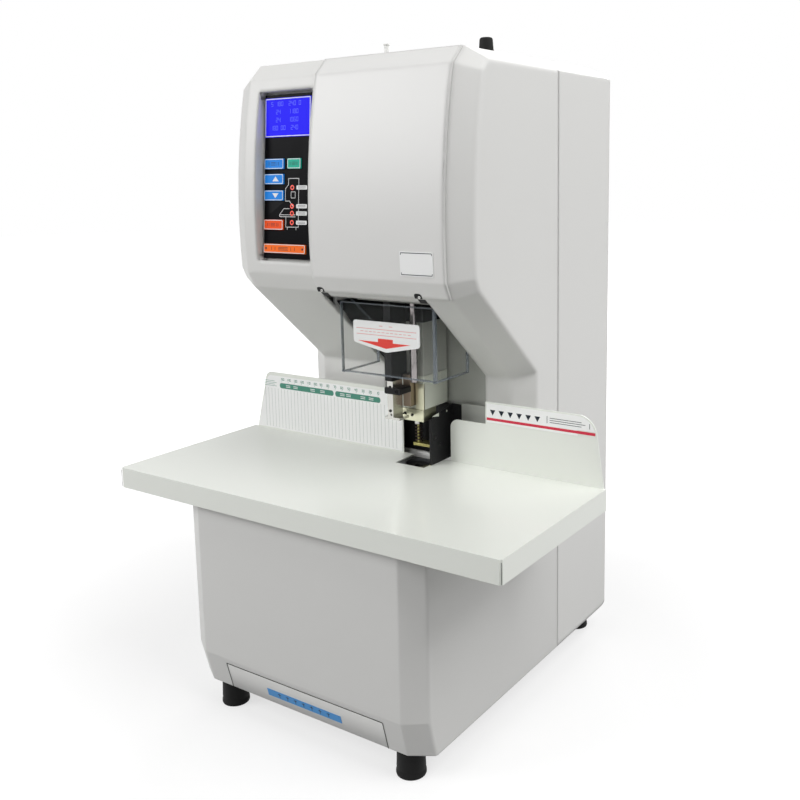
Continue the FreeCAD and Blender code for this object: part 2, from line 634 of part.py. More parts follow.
def tray_outline(inset, back):
    """The table's plan view with rounded front corners."""
    half, low, curve = f"half_table - {inset}", f"front + {inset}", f"table_corner - {inset}"
    return [
        (half, back), (half, f"{low} + {curve}", f"0 - ({curve})"), (f"{half} - ({curve})", low),
        (f"({curve}) - ({half})", low, f"0 - ({curve})"), (f"0 - ({half})", f"{low} + {curve}"),
        (f"0 - ({half})", back)]


def left_fence_outline(margin, height):
    """The left fence's front view, drawn in by a margin."""
    left, right = f"left_inset - half_table + {margin}", f"tool - left_gap - {margin}"
    top, bend = f"table_top + {height}", f"fence_corner - {margin}"
    return [
        (left, f"table_top + {margin}"), (f"{left} + left_lean", f"{top} - ({bend})", bend),
        (f"{left} + left_lean + {bend}", top), (right, top), (right, f"table_top + {margin}")]


def table():
    """One folded sheet: the tray with its skirt, and two fences bent up at the back on both
    sides of a notch for the tools."""
    tray = prism("XY", tray_outline("0", "fence + sheet"), "table_top - table_skirt", "table_top")
    below = prism("XY", tray_outline("sheet", "fence + sheet + overrun"),
                  "table_top - table_skirt - overrun", "sheet_top")
    left = prism("XZ", left_fence_outline("0", "fence_height"), "fence", "fence + sheet")
    start, end = "tool + right_gap", "half_table - right_inset"
    low_top, top = "table_top + low_fence_height", "table_top + fence_height"
    right = prism("XZ", [
        (start, "table_top"), (start, f"{low_top} - fence_corner", "fence_corner"),
        (f"{start} + fence_corner", low_top), (f"{start} + low_fence_run", low_top),
        (f"{start} + low_fence_run", top), (f"{end} - right_lean - tab_corner", top, "tab_corner"),
        (f"{end} - right_lean", f"{top} - tab_corner"), (end, "table_top")], "fence", "fence + sheet")
    notch = block(("tool - notch_width / 2", "tool + notch_width / 2"),
                  ("fence - notch_depth", "fence + sheet + overrun"),
                  ("sheet_top - overrun", "table_top + overrun"))
    node(fuse(cut(tray, below, notch), left, right), "table")
    ruler = left_fence_outline("label_margin", "ruler_height")
    node(prism("XZ", ruler, "fence - label_thickness", "fence"), "ruler_strip")
    strip = ("table_top + fence_height - label_margin - limit_height", f"{top} - label_margin")
    flat = block((f"{start} + low_fence_run + label_margin", f"{end} - right_lean - tab_corner"),
                 ("fence - label_thickness", "fence"), strip)
    node(flat, "limit_strip")


def table_brackets():
    """Two bars that carry the table on the base's deck."""
    made = []
    for side in ("0 - bracket_inset", "bracket_inset"):
        made.append(block((f"{side} - bracket_width / 2", f"{side} + bracket_width / 2"),
                          ("front + bracket_setback", "front + bracket_setback + bracket_length"),
                          ("lid_height", "sheet_top")))
    node(group(*made), "table_brackets")


def die_parts():
    """The block under the notch, the nylon pad that the drill cuts into, and the chip chute."""
    pad_low = "sheet_top - pad_sink - pad_thickness"
    base = block(("tool - die_width / 2", "tool + die_width / 2"),
                 ("tool_y - die_front", "tool_y + die_rear"), ("lid_height", "sheet_top"))
    seat = rod("Z", ("tool", "tool_y"), "die_hole", pad_low, "sheet_top + overrun")
    drop = rod("Z", ("tool", "tool_y"), "die_hole - chute_wall", "lid_height - overrun", "sheet_top")
    node(cut(base, seat, drop), "die_plate")
    disc = rod("Z", ("tool", "tool_y"), "die_hole - play", pad_low, f"{pad_low} + pad_thickness")
    node(cut(disc, rod("Z", ("tool", "tool_y"), "pad_bore", "lid_height", "sheet_top")), "drill_pad")
    tube = rod("Z", ("tool", "tool_y"), "die_hole", "chute_bottom", "lid_height")
    bore = rod("Z", ("tool", "tool_y"), "die_hole - chute_wall",
               "chute_bottom - overrun", "lid_height + overrun")
    node(cut(tube, bore), "chip_chute")


def tool_housing():
    """The black plate behind the tools with the side plate at its right."""
    back = block(("mouth_low - housing_overlap", "mouth_high + housing_overlap"),
                 ("column_front + wall", "column_front + wall + housing_sheet"),
                 ("table_top", "table_top + housing_height"))
    near, far = "ram_right + side_plate_gap", "column_front + wall"
    side = prism("YZ", [
        ("front + side_plate_front", "table_top + clearance"),
        ("front + side_plate_front", "table_top + housing_height - side_plate_slope"),
        (far, "table_top + housing_height"), (far, "table_top + clearance")], near, f"{near} + housing_sheet")
    small = rod("X", ("tool_y", "table_top + housing_height / 2"), "screw_radius",
                f"{near} - overrun", f"{near} + housing_sheet + overrun")
    lower = rod("X", ("tool_y + holder_radius", "table_top + housing_height / 3"), "pin_radius / 2",
                f"{near} - overrun", f"{near} + housing_sheet + overrun")
    node(fuse(back, cut(side, small, lower)), "tool_housing")


def cross_strip():
    """A zinc bar across the housing with the pin that holds the small spring."""
    low = "table_top + strip_rise_bar"
    bar = block(("strip_bar_left", "strip_bar_right"),
                ("front + coil_setback - coil_radius - coil_wire", "column_front + wall"),
                (low, f"{low} + strip_bar"))
    pin = rod("Z", ("coil_x", "front + coil_setback"), "coil_pin", f"{low} + strip_bar",
              f"{low} + strip_bar + coil_height + 2 * coil_wire")
    node(fuse(bar, pin), "cross_strip")


def guard():
    """A folded sheet of clear plastic: a front panel and two side panels on a hinge line."""
    rear = "guard_front + guard_depth"
    profile = [
        ("guard_front", "guard_bottom"), ("guard_front", "guard_top"),
        ("pivot_y - guard_ear", "pivot_z", "guard_ear"), ("pivot_y", "pivot_z + guard_ear", "guard_ear"),
        ("pivot_y + guard_ear", "pivot_z"), ("guard_front + guard_step", "guard_top"),
        (rear, "guard_rear_height"), (rear, "guard_bottom")]
    left = prism("YZ", profile, "guard_left", "guard_left + guard_sheet")
    right = prism("YZ", profile, "guard_right - guard_sheet", "guard_right")
    face = block(("guard_left", "guard_right"), ("guard_front", "guard_front + guard_sheet"),
                 ("guard_bottom", "guard_top"))
    hinge = rod("X", ("pivot_y", "pivot_z"), "pivot_radius + play",
                "guard_left - overrun", "guard_right + overrun")
    node(cut(fuse(left, right, face), hinge), "guard")
    half = "pointer_width / 2"
    pointer = prism("XZ", [
        (f"tool - {half}", "pointer_shoulder"), (f"tool - {half}", "pointer_top"),
        (f"tool + {half}", "pointer_top"), (f"tool + {half}", "pointer_shoulder"), ("tool", "pointer_low")],
        "guard_front - pointer_thickness", "guard_front")
    node(pointer, "pointer_plate")


def guard_screws():
    """Two shouldered screws through the ears of the head, on which the guard turns."""
    at = ("pivot_y", "pivot_z")
    made = [
        fuse(rod("X", at, "pivot_radius", "mouth_low - wall", "guard_left + guard_sheet + clearance"),
             rod("X", at, "screw_head", "guard_left + guard_sheet + clearance",
                 "guard_left + guard_sheet + clearance + screw_head_height"),
             rod("X", at, "screw_head", "mouth_low", "guard_left - clearance")),
        fuse(rod("X", at, "pivot_radius", "guard_right - guard_sheet - clearance", "mouth_high + wall"),
             rod("X", at, "screw_head", "guard_right - guard_sheet - clearance - screw_head_height",
                 "guard_right - guard_sheet - clearance"),
             rod("X", at, "screw_head", "guard_right + clearance", "mouth_high"))]
    node(group(*made), "guard_screws")


def panel_parts():
    """The control panel's plate with its display and its sprung keys, and the board behind it."""
    far = "recess_width - panel_edge"
    plate = tilt_block(("panel_edge", far), ("0 - panel_thickness", "0"),
                       ("panel_edge", "recess_height - panel_edge"))
    left = "panel_edge + key_margin"
    second = f"{left} + key_step"
    keys = [
        ("key_drill", left, "key_width", "row_one", "key_height"),
        ("key_heat", second, "green_width", "row_one", "key_height"),
        ("key_up", left, "key_width", "row_two", "key_height"),
        ("key_down", left, "key_width", "row_three", "key_height"),
        ("key_rivet", left, "key_width", "row_four", "key_height"),
        ("key_start", left, "bar_width", "row_five", "bar_height")]
    pockets = []
    for label, x, width, z, height in keys:
        pockets.append(tilt_block((f"{x} - clearance", f"{x} + {width} + clearance"),
                                  ("0 - panel_thickness - overrun", "0 - pocket_floor"),
                                  (f"{z} - clearance", f"{z} + {height} + clearance")))
        node(tilt_block((x, f"{x} + {width}"),
                        ("0 - panel_thickness - key_cap", "0 - pocket_floor - key_back"),
                        (z, f"{z} + {height}")), label)
    node(cut(plate, *pockets), "panel_plate")
    low = "panel_edge + display_thickness"
    node(tilt_block((low, f"{low} + display_width"),
                    ("0 - panel_thickness - display_thickness", "0 - panel_thickness"),
                    ("recess_height * display_low_share", "recess_height * display_high_share")), "display")
    near = "wall + board_gap"
    board = tilt_block(("panel_edge", "panel_edge + board_width"), (near, f"{near} + board_thickness"),
                       ("panel_edge", "recess_height - panel_edge"))
    posts = []
    for x in ("panel_edge + key_height", "panel_edge + board_width - key_height"):
        for z in ("panel_edge + key_height", "recess_height - panel_edge - key_height"):
            posts.append(tilt_block((f"{x} - post_radius", f"{x} + post_radius"), ("wall", near),
                                    (f"{z} - post_radius", f"{z} + post_radius")))
    node(fuse(board, *posts), "circuit_board")


def ram_parts():
    """The ram with the tools that it carries on the arm: they all move down together."""
    arm = block(("arm_left", "arm_right"), ("front + arm_front", "front + slide_front"),
                ("ram_top", "arm_high"))
    box = block(("ram_left", "ram_right"), ("front + ram_front", "front + ram_rear"),
                ("ram_bottom", "ram_top"))
    bore = rod("Z", ("tool", "tool_y"), "spindle_radius + play", "ram_bottom - overrun", "arm_high + overrun")
    hose = rod("Z", ("rod_x", "rod_y"), "rod_bore", "ram_top - overrun", "arm_high + overrun")
    node(cut(box, bore), "ram")
    slide = block(("tool - slide_width / 2", "tool + slide_width / 2"),
                  ("front + slide_front", "front + slide_rear"), ("slide_low", "slide_high"))
    guides = [rod("Z", (f"tool + {side} * guide_spread", "screw_y"), "guide_radius + play",
                  "slide_low - overrun", "slide_high + overrun") for side in (-1, 1)]
    nut = rod("Z", ("tool", "screw_y"), "lead_radius + play", "slide_low - overrun", "slide_high + overrun")
    node(cut(fuse(slide, arm), bore, hose, nut, *guides), "carriage")
    front = ("front + block_front", "front + ram_front")
    node(block(("block_left", "block_right"), front, ("block_bottom", "ram_top")), "tool_block")
    tube = rod("Z", ("rod_x", "rod_y"), "rod_radius", "rod_low", "ram_top")
    node(cut(tube, rod("Z", ("rod_x", "rod_y"), "rod_bore", "rod_low - overrun", "ram_top + overrun")),
         "guide_tube")
    depth = ("front + block_front", "front + foot_rear")
    stem = block(("foot_left", "foot_right"), depth, ("foot_low + foot_plate", "block_bottom"))
    sole = block(("foot_plate_left", "foot_plate_right"), depth, ("foot_low", "foot_low + foot_plate"))
    mark = rod("Y", ("foot_right - foot_plate", "foot_low + bracket_bore"), "foot_screw",
               "front + block_front - overrun", "front + block_front + foot_plate")
    node(cut(fuse(stem, sole), mark), "press_foot")
    rise = ("strap_low", "strap_high")
    band = block(("foot_left - strap_sheet", "strap_right"),
                 ("front + block_front - strap_sheet", "front + block_front"), rise)
    side = block(("strap_right - strap_sheet", "strap_right"),
                 ("front + block_front", "front + heater_front"), rise)
    node(fuse(band, side), "foot_strap")
    node(block(("heater_left", "heater_right"), ("front + heater_front", "front + ram_front"),
               ("heater_low", "heater_low + heater_height")), "heater")
    yoke = block(("bracket_left", "bracket_right"), ("front + bracket_face", "front + bracket_back"),
                 ("bracket_low", "ram_bottom"))
    lug = block(("lug_left", "lug_right"), ("front + ram_front - lug_sheet", "front + ram_front"),
                ("ram_bottom", "lug_top"))
    drill_hole = rod("Z", ("tool", "tool_y"), "bracket_bore", "bracket_low - overrun", "ram_bottom + overrun")
    node(cut(fuse(yoke, lug), drill_hole), "drill_bracket")


def drill_drive():
    """The drill's motor on the arm, its pulley, the belt, the spindle and the hollow drill."""
    spindle_at, motor_at = ("tool", "tool_y"), ("motor_x", "tool_y")
    shaft = rod("Z", spindle_at, "spindle_radius", "spindle_low", "spindle_high")
    wheel = rod("Z", spindle_at, "spindle_pulley", "pulley_low", "pulley_low + pulley_height")
    hollow = rod("Z", spindle_at, "drill_radius", "spindle_low - overrun", "drill_high")
    upper = rod("Z", spindle_at, "drill_bore", "spindle_low", "spindle_high + overrun")
    node(cut(fuse(shaft, wheel), hollow, upper), "spindle")
    drill = rod("Z", spindle_at, "drill_radius", "drill_low", "drill_high")
    node(cut(drill, rod("Z", spindle_at, "drill_bore", "drill_low - overrun", "drill_high + overrun")),
         "hollow_drill")
    can = rod("Z", motor_at, "motor_radius", "arm_high", "arm_high + motor_height")
    seat = "arm_high + motor_height - shaft_bite"
    node(cut(can, rod("Z", motor_at, "motor_shaft + play", seat, "pulley_low")), "drill_motor")
    pin = rod("Z", motor_at, "motor_shaft", f"{seat} + clearance", "pulley_low")
    disc = rod("Z", motor_at, "motor_pulley", "pulley_low", "pulley_low + pulley_height")
    node(fuse(pin, disc), "motor_pulley")
    lean = "(spindle_pulley - motor_pulley) / motor_offset"
    across = f"sqrt(1 - ({lean}) * ({lean}))"

    def loop(add, low, high):
        big, small = f"(spindle_pulley + {add})", f"(motor_pulley + {add})"
        return prism("XY", [
            (f"tool + {big} * {lean}", f"tool_y - {big} * {across}", big), (f"tool - {big}", "tool_y", big),
            (f"tool + {big} * {lean}", f"tool_y + {big} * {across}"),
            (f"motor_x + {small} * {lean}", f"tool_y + {small} * {across}", small),
            (f"motor_x + {small}", "tool_y", small),
            (f"motor_x + {small} * {lean}", f"tool_y - {small} * {across}")], low, high)

    low, high = "pulley_low + belt_thickness", "pulley_low + pulley_height - belt_thickness"
    belt = cut(loop("clearance + belt_thickness", low, high),
               loop("clearance", "pulley_low - overrun", "pulley_low + pulley_height + overrun"))
    node(belt, "drill_belt")


def lift_drive():
    """The column frame with its two guide rods, the lead screw and the motor that turns it."""
    half, depth = "frame_width / 2", ("front + frame_front", "front + frame_rear")
    upright = ("floor_high", "frame_top")
    span = (f"tool - {half}", f"tool + {half}")
    whole = block(span, depth, upright)
    inside = block((f"tool - {half} + frame_wall", f"tool + {half} - frame_wall"),
                   ("front + frame_front - overrun", "front + frame_rear - frame_wall"),
                   ("floor_high - overrun", "frame_top + overrun"))
    foot = block(span, ("front + frame_front", "front + frame_front + frame_foot_depth"),
                 ("floor_high", "floor_high + frame_foot"))
    shelves = [block(span, depth, ("frame_top - shelf", "frame_top")),
               block(span, depth, ("guide_low - shelf", "guide_low"))]
    socket = "guide_low - shelf / 2"
    screw = rod("Z", ("tool", "screw_y"), "lead_radius + play", socket, "frame_top + overrun")
    node(cut(fuse(cut(whole, inside), foot, *shelves), screw), "column_frame")
    rods = [rod("Z", (f"tool + {side} * guide_spread", "screw_y"), "guide_radius", "guide_low",
                "frame_top - shelf") for side in (-1, 1)]
    node(group(*rods), "guide_rods")
    node(rod("Z", ("tool", "screw_y"), "lead_radius", f"{socket} + play", "frame_top - clearance"),
         "lead_screw")
    node(block(("tool - lift_size / 2", "tool + lift_size / 2"),
               ("screw_y - lift_size / 2", "screw_y + lift_size / 2"),
               ("frame_top", "frame_top + lift_height")), "lift_motor")


def feed_parts():
    """The hose that leads the nylon tube down to the tools, its bush on top and the tube's end."""
    top = "head_top - bush_depth"
    upper = rod("Z", ("feed_x", "feed_y"), "hose_radius", "hose_bend_high", top)
    lower = rod("Z", ("rod_x", "rod_y"), "hose_radius", "hose_low", "hose_bend_low")
    upper_bore = rod("Z", ("feed_x", "feed_y"), "hose_bore", "hose_bend_high", f"{top} + overrun")
    lower_bore = rod("Z", ("rod_x", "rod_y"), "hose_bore", "hose_low - overrun", "hose_bend_low")
    slant = slanting("hose_radius")
    slant_bore = slanting("hose_bore")
    knees = [ball("feed_x", "feed_y", "hose_bend_high", "hose_radius"),
             ball("rod_x", "rod_y", "hose_bend_low", "hose_radius")]
    knee_bores = [ball("feed_x", "feed_y", "hose_bend_high", "hose_bore"),
                  ball("rod_x", "rod_y", "hose_bend_low", "hose_bore")]
    node(cut(fuse(upper, lower, slant, *knees), upper_bore, lower_bore, slant_bore, *knee_bores), "feed_hose")
    stem = rod("Z", ("feed_x", "feed_y"), "bush_stem", top, "head_top")
    rim = rod("Z", ("feed_x", "feed_y"), "bush_radius", "head_top", "head_top + bush_height")
    bore = rod("Z", ("feed_x", "feed_y"), "tube_radius + play", f"{top} - overrun", "head_top + overrun")
    node(cut(fuse(stem, rim), bore), "tube_bush")
    tube = rod("Z", ("feed_x", "feed_y"), "tube_radius", f"{top} + clearance", "head_top + tube_rise")
    lip = rod("Z", ("feed_x", "feed_y"), "tube_radius + tube_lip", "head_top + tube_rise - tube_lip",
              "head_top + tube_rise")
    hole = rod("Z", ("feed_x", "feed_y"), "tube_bore", f"{top} - overrun", "head_top + tube_rise + overrun")
    node(cut(fuse(tube, lip), hole), "nylon_tube")


def slanting(radius):
    """The hose's slanting part between its two bends."""
    run_x, run_y = value("rod_x - feed_x"), value("rod_y - feed_y")
    drop = value("hose_bend_low - hose_bend_high")
    bar = doc.addObject("Part::Cylinder", "Slant")
    step = "(rod_x - feed_x) * (rod_x - feed_x) + (rod_y - feed_y) * (rod_y - feed_y)"
    bind(bar, Radius=radius,
         Height=f"sqrt({step} + (hose_bend_high - hose_bend_low) * (hose_bend_high - hose_bend_low))")
    turn = FreeCAD.Rotation(FreeCAD.Vector(0, 0, 1), FreeCAD.Vector(run_x, run_y, drop))
    bar.Placement = FreeCAD.Placement(FreeCAD.Vector(), turn)
    return place(bar, "feed_x", "feed_y", "hose_bend_high")


def ball(x, y, z, radius):
    sphere = doc.addObject("Part::Sphere", "Ball")
    bind(sphere, Radius=radius)
    return place(sphere, x, y, z)


def holder_parts():
    """The pocket for spare tubes in the head's top and its tapered cap."""
    at = ("holder_x", "holder_y")
    tube = rod("Z", at, "holder_radius", "head_top - holder_depth", "head_top")
    rim = rod("Z", at, "holder_radius + holder_collar", "head_top", "head_top + holder_collar")
    bore = rod("Z", at, "holder_bore", "head_top - holder_depth + wall", "head_top + overrun")
    node(cut(fuse(tube, rim), bore), "spare_holder")
    low = "head_top + holder_collar + play"
    cap = cone(at, "cap_radius", "cap_top_radius", low, f"{low} + cap_height")
    plug = rod("Z", at, "cap_plug", f"{low} - cap_plug_depth", low)
    node(fuse(cap, plug), "holder_cap")


def spring():
    """A small coil spring of round wire, one unbroken tube around its pin."""
    pitch = "coil_height / coil_turns"
    path = doc.addObject("Part::Helix", "Path")
    bind(path, Radius="coil_radius", Pitch=pitch, Height="coil_height")
    path.SegmentLength = 0.25
    low = "table_top + strip_rise_bar + strip_bar + coil_wire"
    place(path, "coil_x", "front + coil_setback", low)
    ring = doc.addObject("Part::Circle", "Section")
    bind(ring, Radius="coil_wire")
    place(ring, "coil_x + coil_radius", "front + coil_setback", low, FreeCAD.Vector(1, 0, 0), 90)
    doc.recompute()
    coil = doc.addObject("Part::Sweep", "Coil")
    coil.Sections = [ring]
    coil.Spine = (path, [f"Edge{index + 1}" for index in range(len(path.Shape.Edges))])
    coil.Solid = True
    node(coil, "drill_spring")


def transformer():
    half_x, half_y = "core_width / 2", "core_depth / 2"
    middle = "front + core_setback"
    core = block((f"core_x - {half_x}", f"core_x + {half_x}"),
                 (f"{middle} - {half_y}", f"{middle} + {half_y}"),
                 ("floor_high", "floor_high + core_height"))
    low = "floor_high + (core_height - winding_height) / 2"
    coil = block(("core_x - winding_width / 2", "core_x + winding_width / 2"),
                 (f"{middle} - winding_depth / 2", f"{middle} + winding_depth / 2"),
                 (low, f"{low} + winding_height"))
    node(fuse(core, coil), "transformer")


def fan_parts():
    """The cooling fan's frame with its axle on two struts, and the bladed rotor."""
    rear_face = "rear_skin - wall"
    front_face = f"{rear_face} - fan_depth"
    half = "fan_size / 2"
    frame = block((f"0 - {half}", half), (front_face, rear_face),
                  (f"fan_height - {half}", f"fan_height + {half}"))
    bore = rod("Y", ("0", "fan_height"), "fan_bore", f"{front_face} - overrun", f"{rear_face} + overrun")
    strut = (front_face, f"{front_face} + wall")
    level = block((f"0 - {half}", half), strut, ("fan_height - wall", "fan_height + wall"))
    upright = block(("0 - wall", "wall"), strut, (f"fan_height - {half}", f"fan_height + {half}"))
    axle = rod("Y", ("0", "fan_height"), "fan_axle", f"{front_face} + wall", f"{rear_face} - wall")
    node(fuse(cut(frame, bore), level, upright, axle), "fan")
    low = f"{front_face} + wall + clearance"
    high = f"{low} + rotor_depth"
    hub = rod("Y", ("0", "fan_height"), "rotor_hub", low, high)
    blades = []
    root = "(rotor_hub - wall)"
    for angle in range(36, 360, 72):
        blade = doc.addObject("Part::Box", "Blade")
        bind(blade, Length=f"rotor_radius * blade_reach_share - {root}", Width="rotor_depth / 2",
             Height="blade_thickness")
        turn = FreeCAD.Rotation(FreeCAD.Vector(0, 1, 0), angle).multiply(
            FreeCAD.Rotation(FreeCAD.Vector(1, 0, 0), 35))
        blade.Placement = FreeCAD.Placement(FreeCAD.Vector(), turn)
        blades.append(place(blade, f"{root} * cos({angle})", f"{low} + blade_thickness",
                            f"fan_height - {root} * sin({angle})"))
    axle_hole = rod("Y", ("0", "fan_height"), "fan_axle + play", f"{low} - overrun", f"{high} + overrun")
    node(cut(fuse(hub, *blades), axle_hole), "fan_rotor")


def power_entry():
    """The mains inlet with its three pins and the rocker switch beside it on one flange."""
    inlet_x, switch_x = entry_spans()
    height = "inlet_height / 2"
    flange = block((f"{inlet_x[0]} - flange_edge", f"{switch_x[1]} + flange_edge"), ("rear_skin", "rear"),
                   (f"entry_height - {height} - flange_edge", f"entry_height + {height} + flange_edge"))
    inlet = block(inlet_x, ("rear_skin - inlet_depth", "rear_skin"),
                  (f"entry_height - {height}", f"entry_height + {height}"))
    socket = block((f"{inlet_x[0]} + socket_edge", f"{inlet_x[1]} - socket_edge"),
                   ("rear - socket_depth", "rear + overrun"),
                   (f"entry_height - {height} + flange_edge", f"entry_height + {height} - flange_edge"))
    half = "switch_height / 2"
    box = block(switch_x, ("rear_skin - switch_depth", "rear_skin"),
                (f"entry_height - {half}", f"entry_height + {half}"))
    pocket_x = (f"{switch_x[0]} + switch_wall", f"{switch_x[1]} - switch_wall")
    pocket = block(pocket_x, ("rear - switch_depth", "rear + overrun"),
                   (f"entry_height - {half} + switch_wall", f"entry_height + {half} - switch_wall"))
    pins = []
    for side in (-1, 0, 1):
        pins.append(rod("Y", (f"entry_x + {side} * inlet_width / 5", "entry_height"), "pin_radius",
                        "rear - socket_depth", "rear - socket_depth + pin_length"))
    axis = ("rear - rocker_sink", "entry_height")
    pivot = rod("X", axis, "rocker_pin", *pocket_x)
    node(fuse(cut(fuse(flange, inlet, box), socket, pocket), *pins, pivot), "power_inlet")
    key = doc.addObject("Part::Box", "Key")
    width = f"{pocket_x[1]} - ({pocket_x[0]}) - 2 * clearance"
    bind(key, Length=width, Width="rocker_back + rocker_face", Height="2 * rocker_half")
    place(key, f"{pocket_x[0]} + clearance",
          f"rear - rocker_sink - rocker_back * cos(rocker_tilt) - rocker_half * sin(rocker_tilt)",
          f"entry_height - rocker_half * cos(rocker_tilt) + rocker_back * sin(rocker_tilt)",
          FreeCAD.Vector(1, 0, 0), "0 - rocker_tilt")
    hole = rod("X", axis, "rocker_pin + play", f"{pocket_x[0]} - overrun", f"{pocket_x[1]} + overrun")
    node(cut(key, hole), "rocker")


def cover_screws():
    made = []
    for side in (-1, 1):
        for row in range(3):
            made.append(rod("Y", (f"body_offset + {side} * (half_body - cover_screw_inset)",
                                  f"cover_screw_low + {row} * cover_screw_step"),
                            "screw_head", "rear_skin", "rear_skin + cover_head"))
    node(group(*made), "cover_screws")


fill_sheet()
head_shell()
visor()
base_shell()
rear_cover()
bottom_plate()
feet()
foot_screws()
drawer()
table()
table_brackets()
die_parts()
tool_housing()
cross_strip()
guard()
guard_screws()
panel_parts()
ram_parts()
drill_drive()
lift_drive()
feed_parts()
holder_parts()
spring()
transformer()
fan_parts()
power_entry()
cover_screws()
doc.recompute()

wrong = [item.Label for item in doc.Objects if "Invalid" in item.State or "Error" in item.State]
for item in nodes:
    if item.Shape.isNull() or not item.Shape.isValid() or not item.Shape.Solids:
        wrong.append(item.Label)
if wrong:
    raise RuntimeError("not sound: " + ", ".join(wrong))
os.makedirs("parts", exist_ok=True)
for item in nodes:
    item.Shape.exportStep("parts/" + item.Label + ".step")
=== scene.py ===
import math

import bpy
import numpy as np
from mathutils import Matrix, Vector


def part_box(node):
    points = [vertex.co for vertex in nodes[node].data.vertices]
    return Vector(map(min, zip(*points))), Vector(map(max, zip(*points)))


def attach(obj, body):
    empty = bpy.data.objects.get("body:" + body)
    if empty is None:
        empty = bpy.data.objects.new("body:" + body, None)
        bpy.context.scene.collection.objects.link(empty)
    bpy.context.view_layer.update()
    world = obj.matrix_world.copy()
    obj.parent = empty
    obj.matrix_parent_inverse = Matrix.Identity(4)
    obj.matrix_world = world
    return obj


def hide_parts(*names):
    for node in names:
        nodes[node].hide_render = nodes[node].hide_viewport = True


# Document riveting machine, dressed for a studio picture. Metres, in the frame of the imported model:
# X to the operator's right, Y to the back, Z up, the origin on the floor under the machine's middle.
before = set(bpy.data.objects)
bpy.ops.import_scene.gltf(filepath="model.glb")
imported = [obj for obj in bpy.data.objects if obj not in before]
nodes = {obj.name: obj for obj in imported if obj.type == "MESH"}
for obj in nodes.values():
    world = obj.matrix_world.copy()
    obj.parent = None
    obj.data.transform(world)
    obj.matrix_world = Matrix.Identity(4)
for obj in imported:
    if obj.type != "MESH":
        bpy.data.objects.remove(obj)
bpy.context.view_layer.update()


# The bottom plate closes the machine from below: zinc-primed sheet steel, screwed to the feet. The
# steel column frame with the lift motor and its screw, and the transformer stand on it, out of sight.
def finish_of(name, colour, rough, metal=0.0, grain=0.0, grain_scale=900.0, cloud=0.03, coat=0.0,
              run=(1, 1, 1), round_over=0.0, shine=None):
    """A principled finish. Two noises over Object coordinates vary it: a wide one shades the colour
    and the roughness by a small share, a fine one, stretched by run, lifts the surface by grain metres.
    With round_over, when there is grain, light falls over the edges as if they were round by that many
    metres. Shine is the specular level; without it, dark finishes mirror the white room less than pale ones
    do."""
    made = bpy.data.materials.new(name)
    made.use_nodes = True
    tree = made.node_tree
    shader = tree.nodes["Principled BSDF"]
    if shine is None:
        shine = 0.12 if not metal and max(colour) < 0.1 else 0.5
    shader.inputs["Specular IOR Level"].default_value = shine
    shader.inputs["Metallic"].default_value = metal
    shader.inputs["Coat Weight"].default_value = coat
    shader.inputs["Coat Roughness"].default_value = 0.08
    place = tree.nodes.new("ShaderNodeTexCoord")
    wide = tree.nodes.new("ShaderNodeTexNoise")
    wide.inputs["Scale"].default_value = 9.0
    wide.inputs["Detail"].default_value = 4.0
    tree.links.new(place.outputs["Object"], wide.inputs["Vector"])
    shade = tree.nodes.new("ShaderNodeMix")
    shade.data_type = "RGBA"
    shade.inputs["A"].default_value = (*[c * (1 - cloud) for c in colour], 1)
    shade.inputs["B"].default_value = (*[min(1.0, c * (1 + cloud)) for c in colour], 1)
    tree.links.new(wide.outputs["Fac"], shade.inputs["Factor"])
    tree.links.new(shade.outputs["Result"], shader.inputs["Base Color"])
    gloss = tree.nodes.new("ShaderNodeMapRange")
    gloss.inputs["To Min"].default_value = rough * 0.9
    gloss.inputs["To Max"].default_value = min(1.0, rough * 1.1)
    tree.links.new(wide.outputs["Fac"], gloss.inputs["Value"])
    tree.links.new(gloss.outputs["Result"], shader.inputs["Roughness"])
    if grain:
        stretch = tree.nodes.new("ShaderNodeMapping")
        stretch.inputs["Scale"].default_value = run
        fine = tree.nodes.new("ShaderNodeTexNoise")
        fine.inputs["Scale"].default_value = grain_scale
        fine.inputs["Detail"].default_value = 3.0
        bump = tree.nodes.new("ShaderNodeBump")
        bump.inputs["Distance"].default_value = grain
        bump.inputs["Strength"].default_value = 0.6
        tree.links.new(place.outputs["Object"], stretch.inputs["Vector"])
        tree.links.new(stretch.outputs["Vector"], fine.inputs["Vector"])
        tree.links.new(fine.outputs["Fac"], bump.inputs["Height"])
        tree.links.new(bump.outputs["Normal"], shader.inputs["Normal"])
        if round_over:
            turn = tree.nodes.new("ShaderNodeBevel")
            turn.samples = 6
            turn.inputs["Radius"].default_value = round_over
            tree.links.new(turn.outputs["Normal"], bump.inputs["Normal"])
    return made


def wear(node, material, soft=0.0, steps=3):
    """Give a CAD node its material. With soft, its edges over 25 degrees are rounded by that much."""
    piece = nodes[node]
    piece.data.materials.clear()
    piece.data.materials.append(material)
    for slot in piece.material_slots:
        slot.material = material
    if soft:
        joined = piece.modifiers.new("joined", "WELD")
        joined.merge_threshold = 0.00002
        rounded = piece.modifiers.new("rounded", "BEVEL")
        rounded.width = soft
        rounded.segments = steps
        rounded.limit_method = "ANGLE"
        rounded.angle_limit = math.radians(25)
        rounded.harden_normals = True
        rounded.use_clamp_overlap = True
    return piece


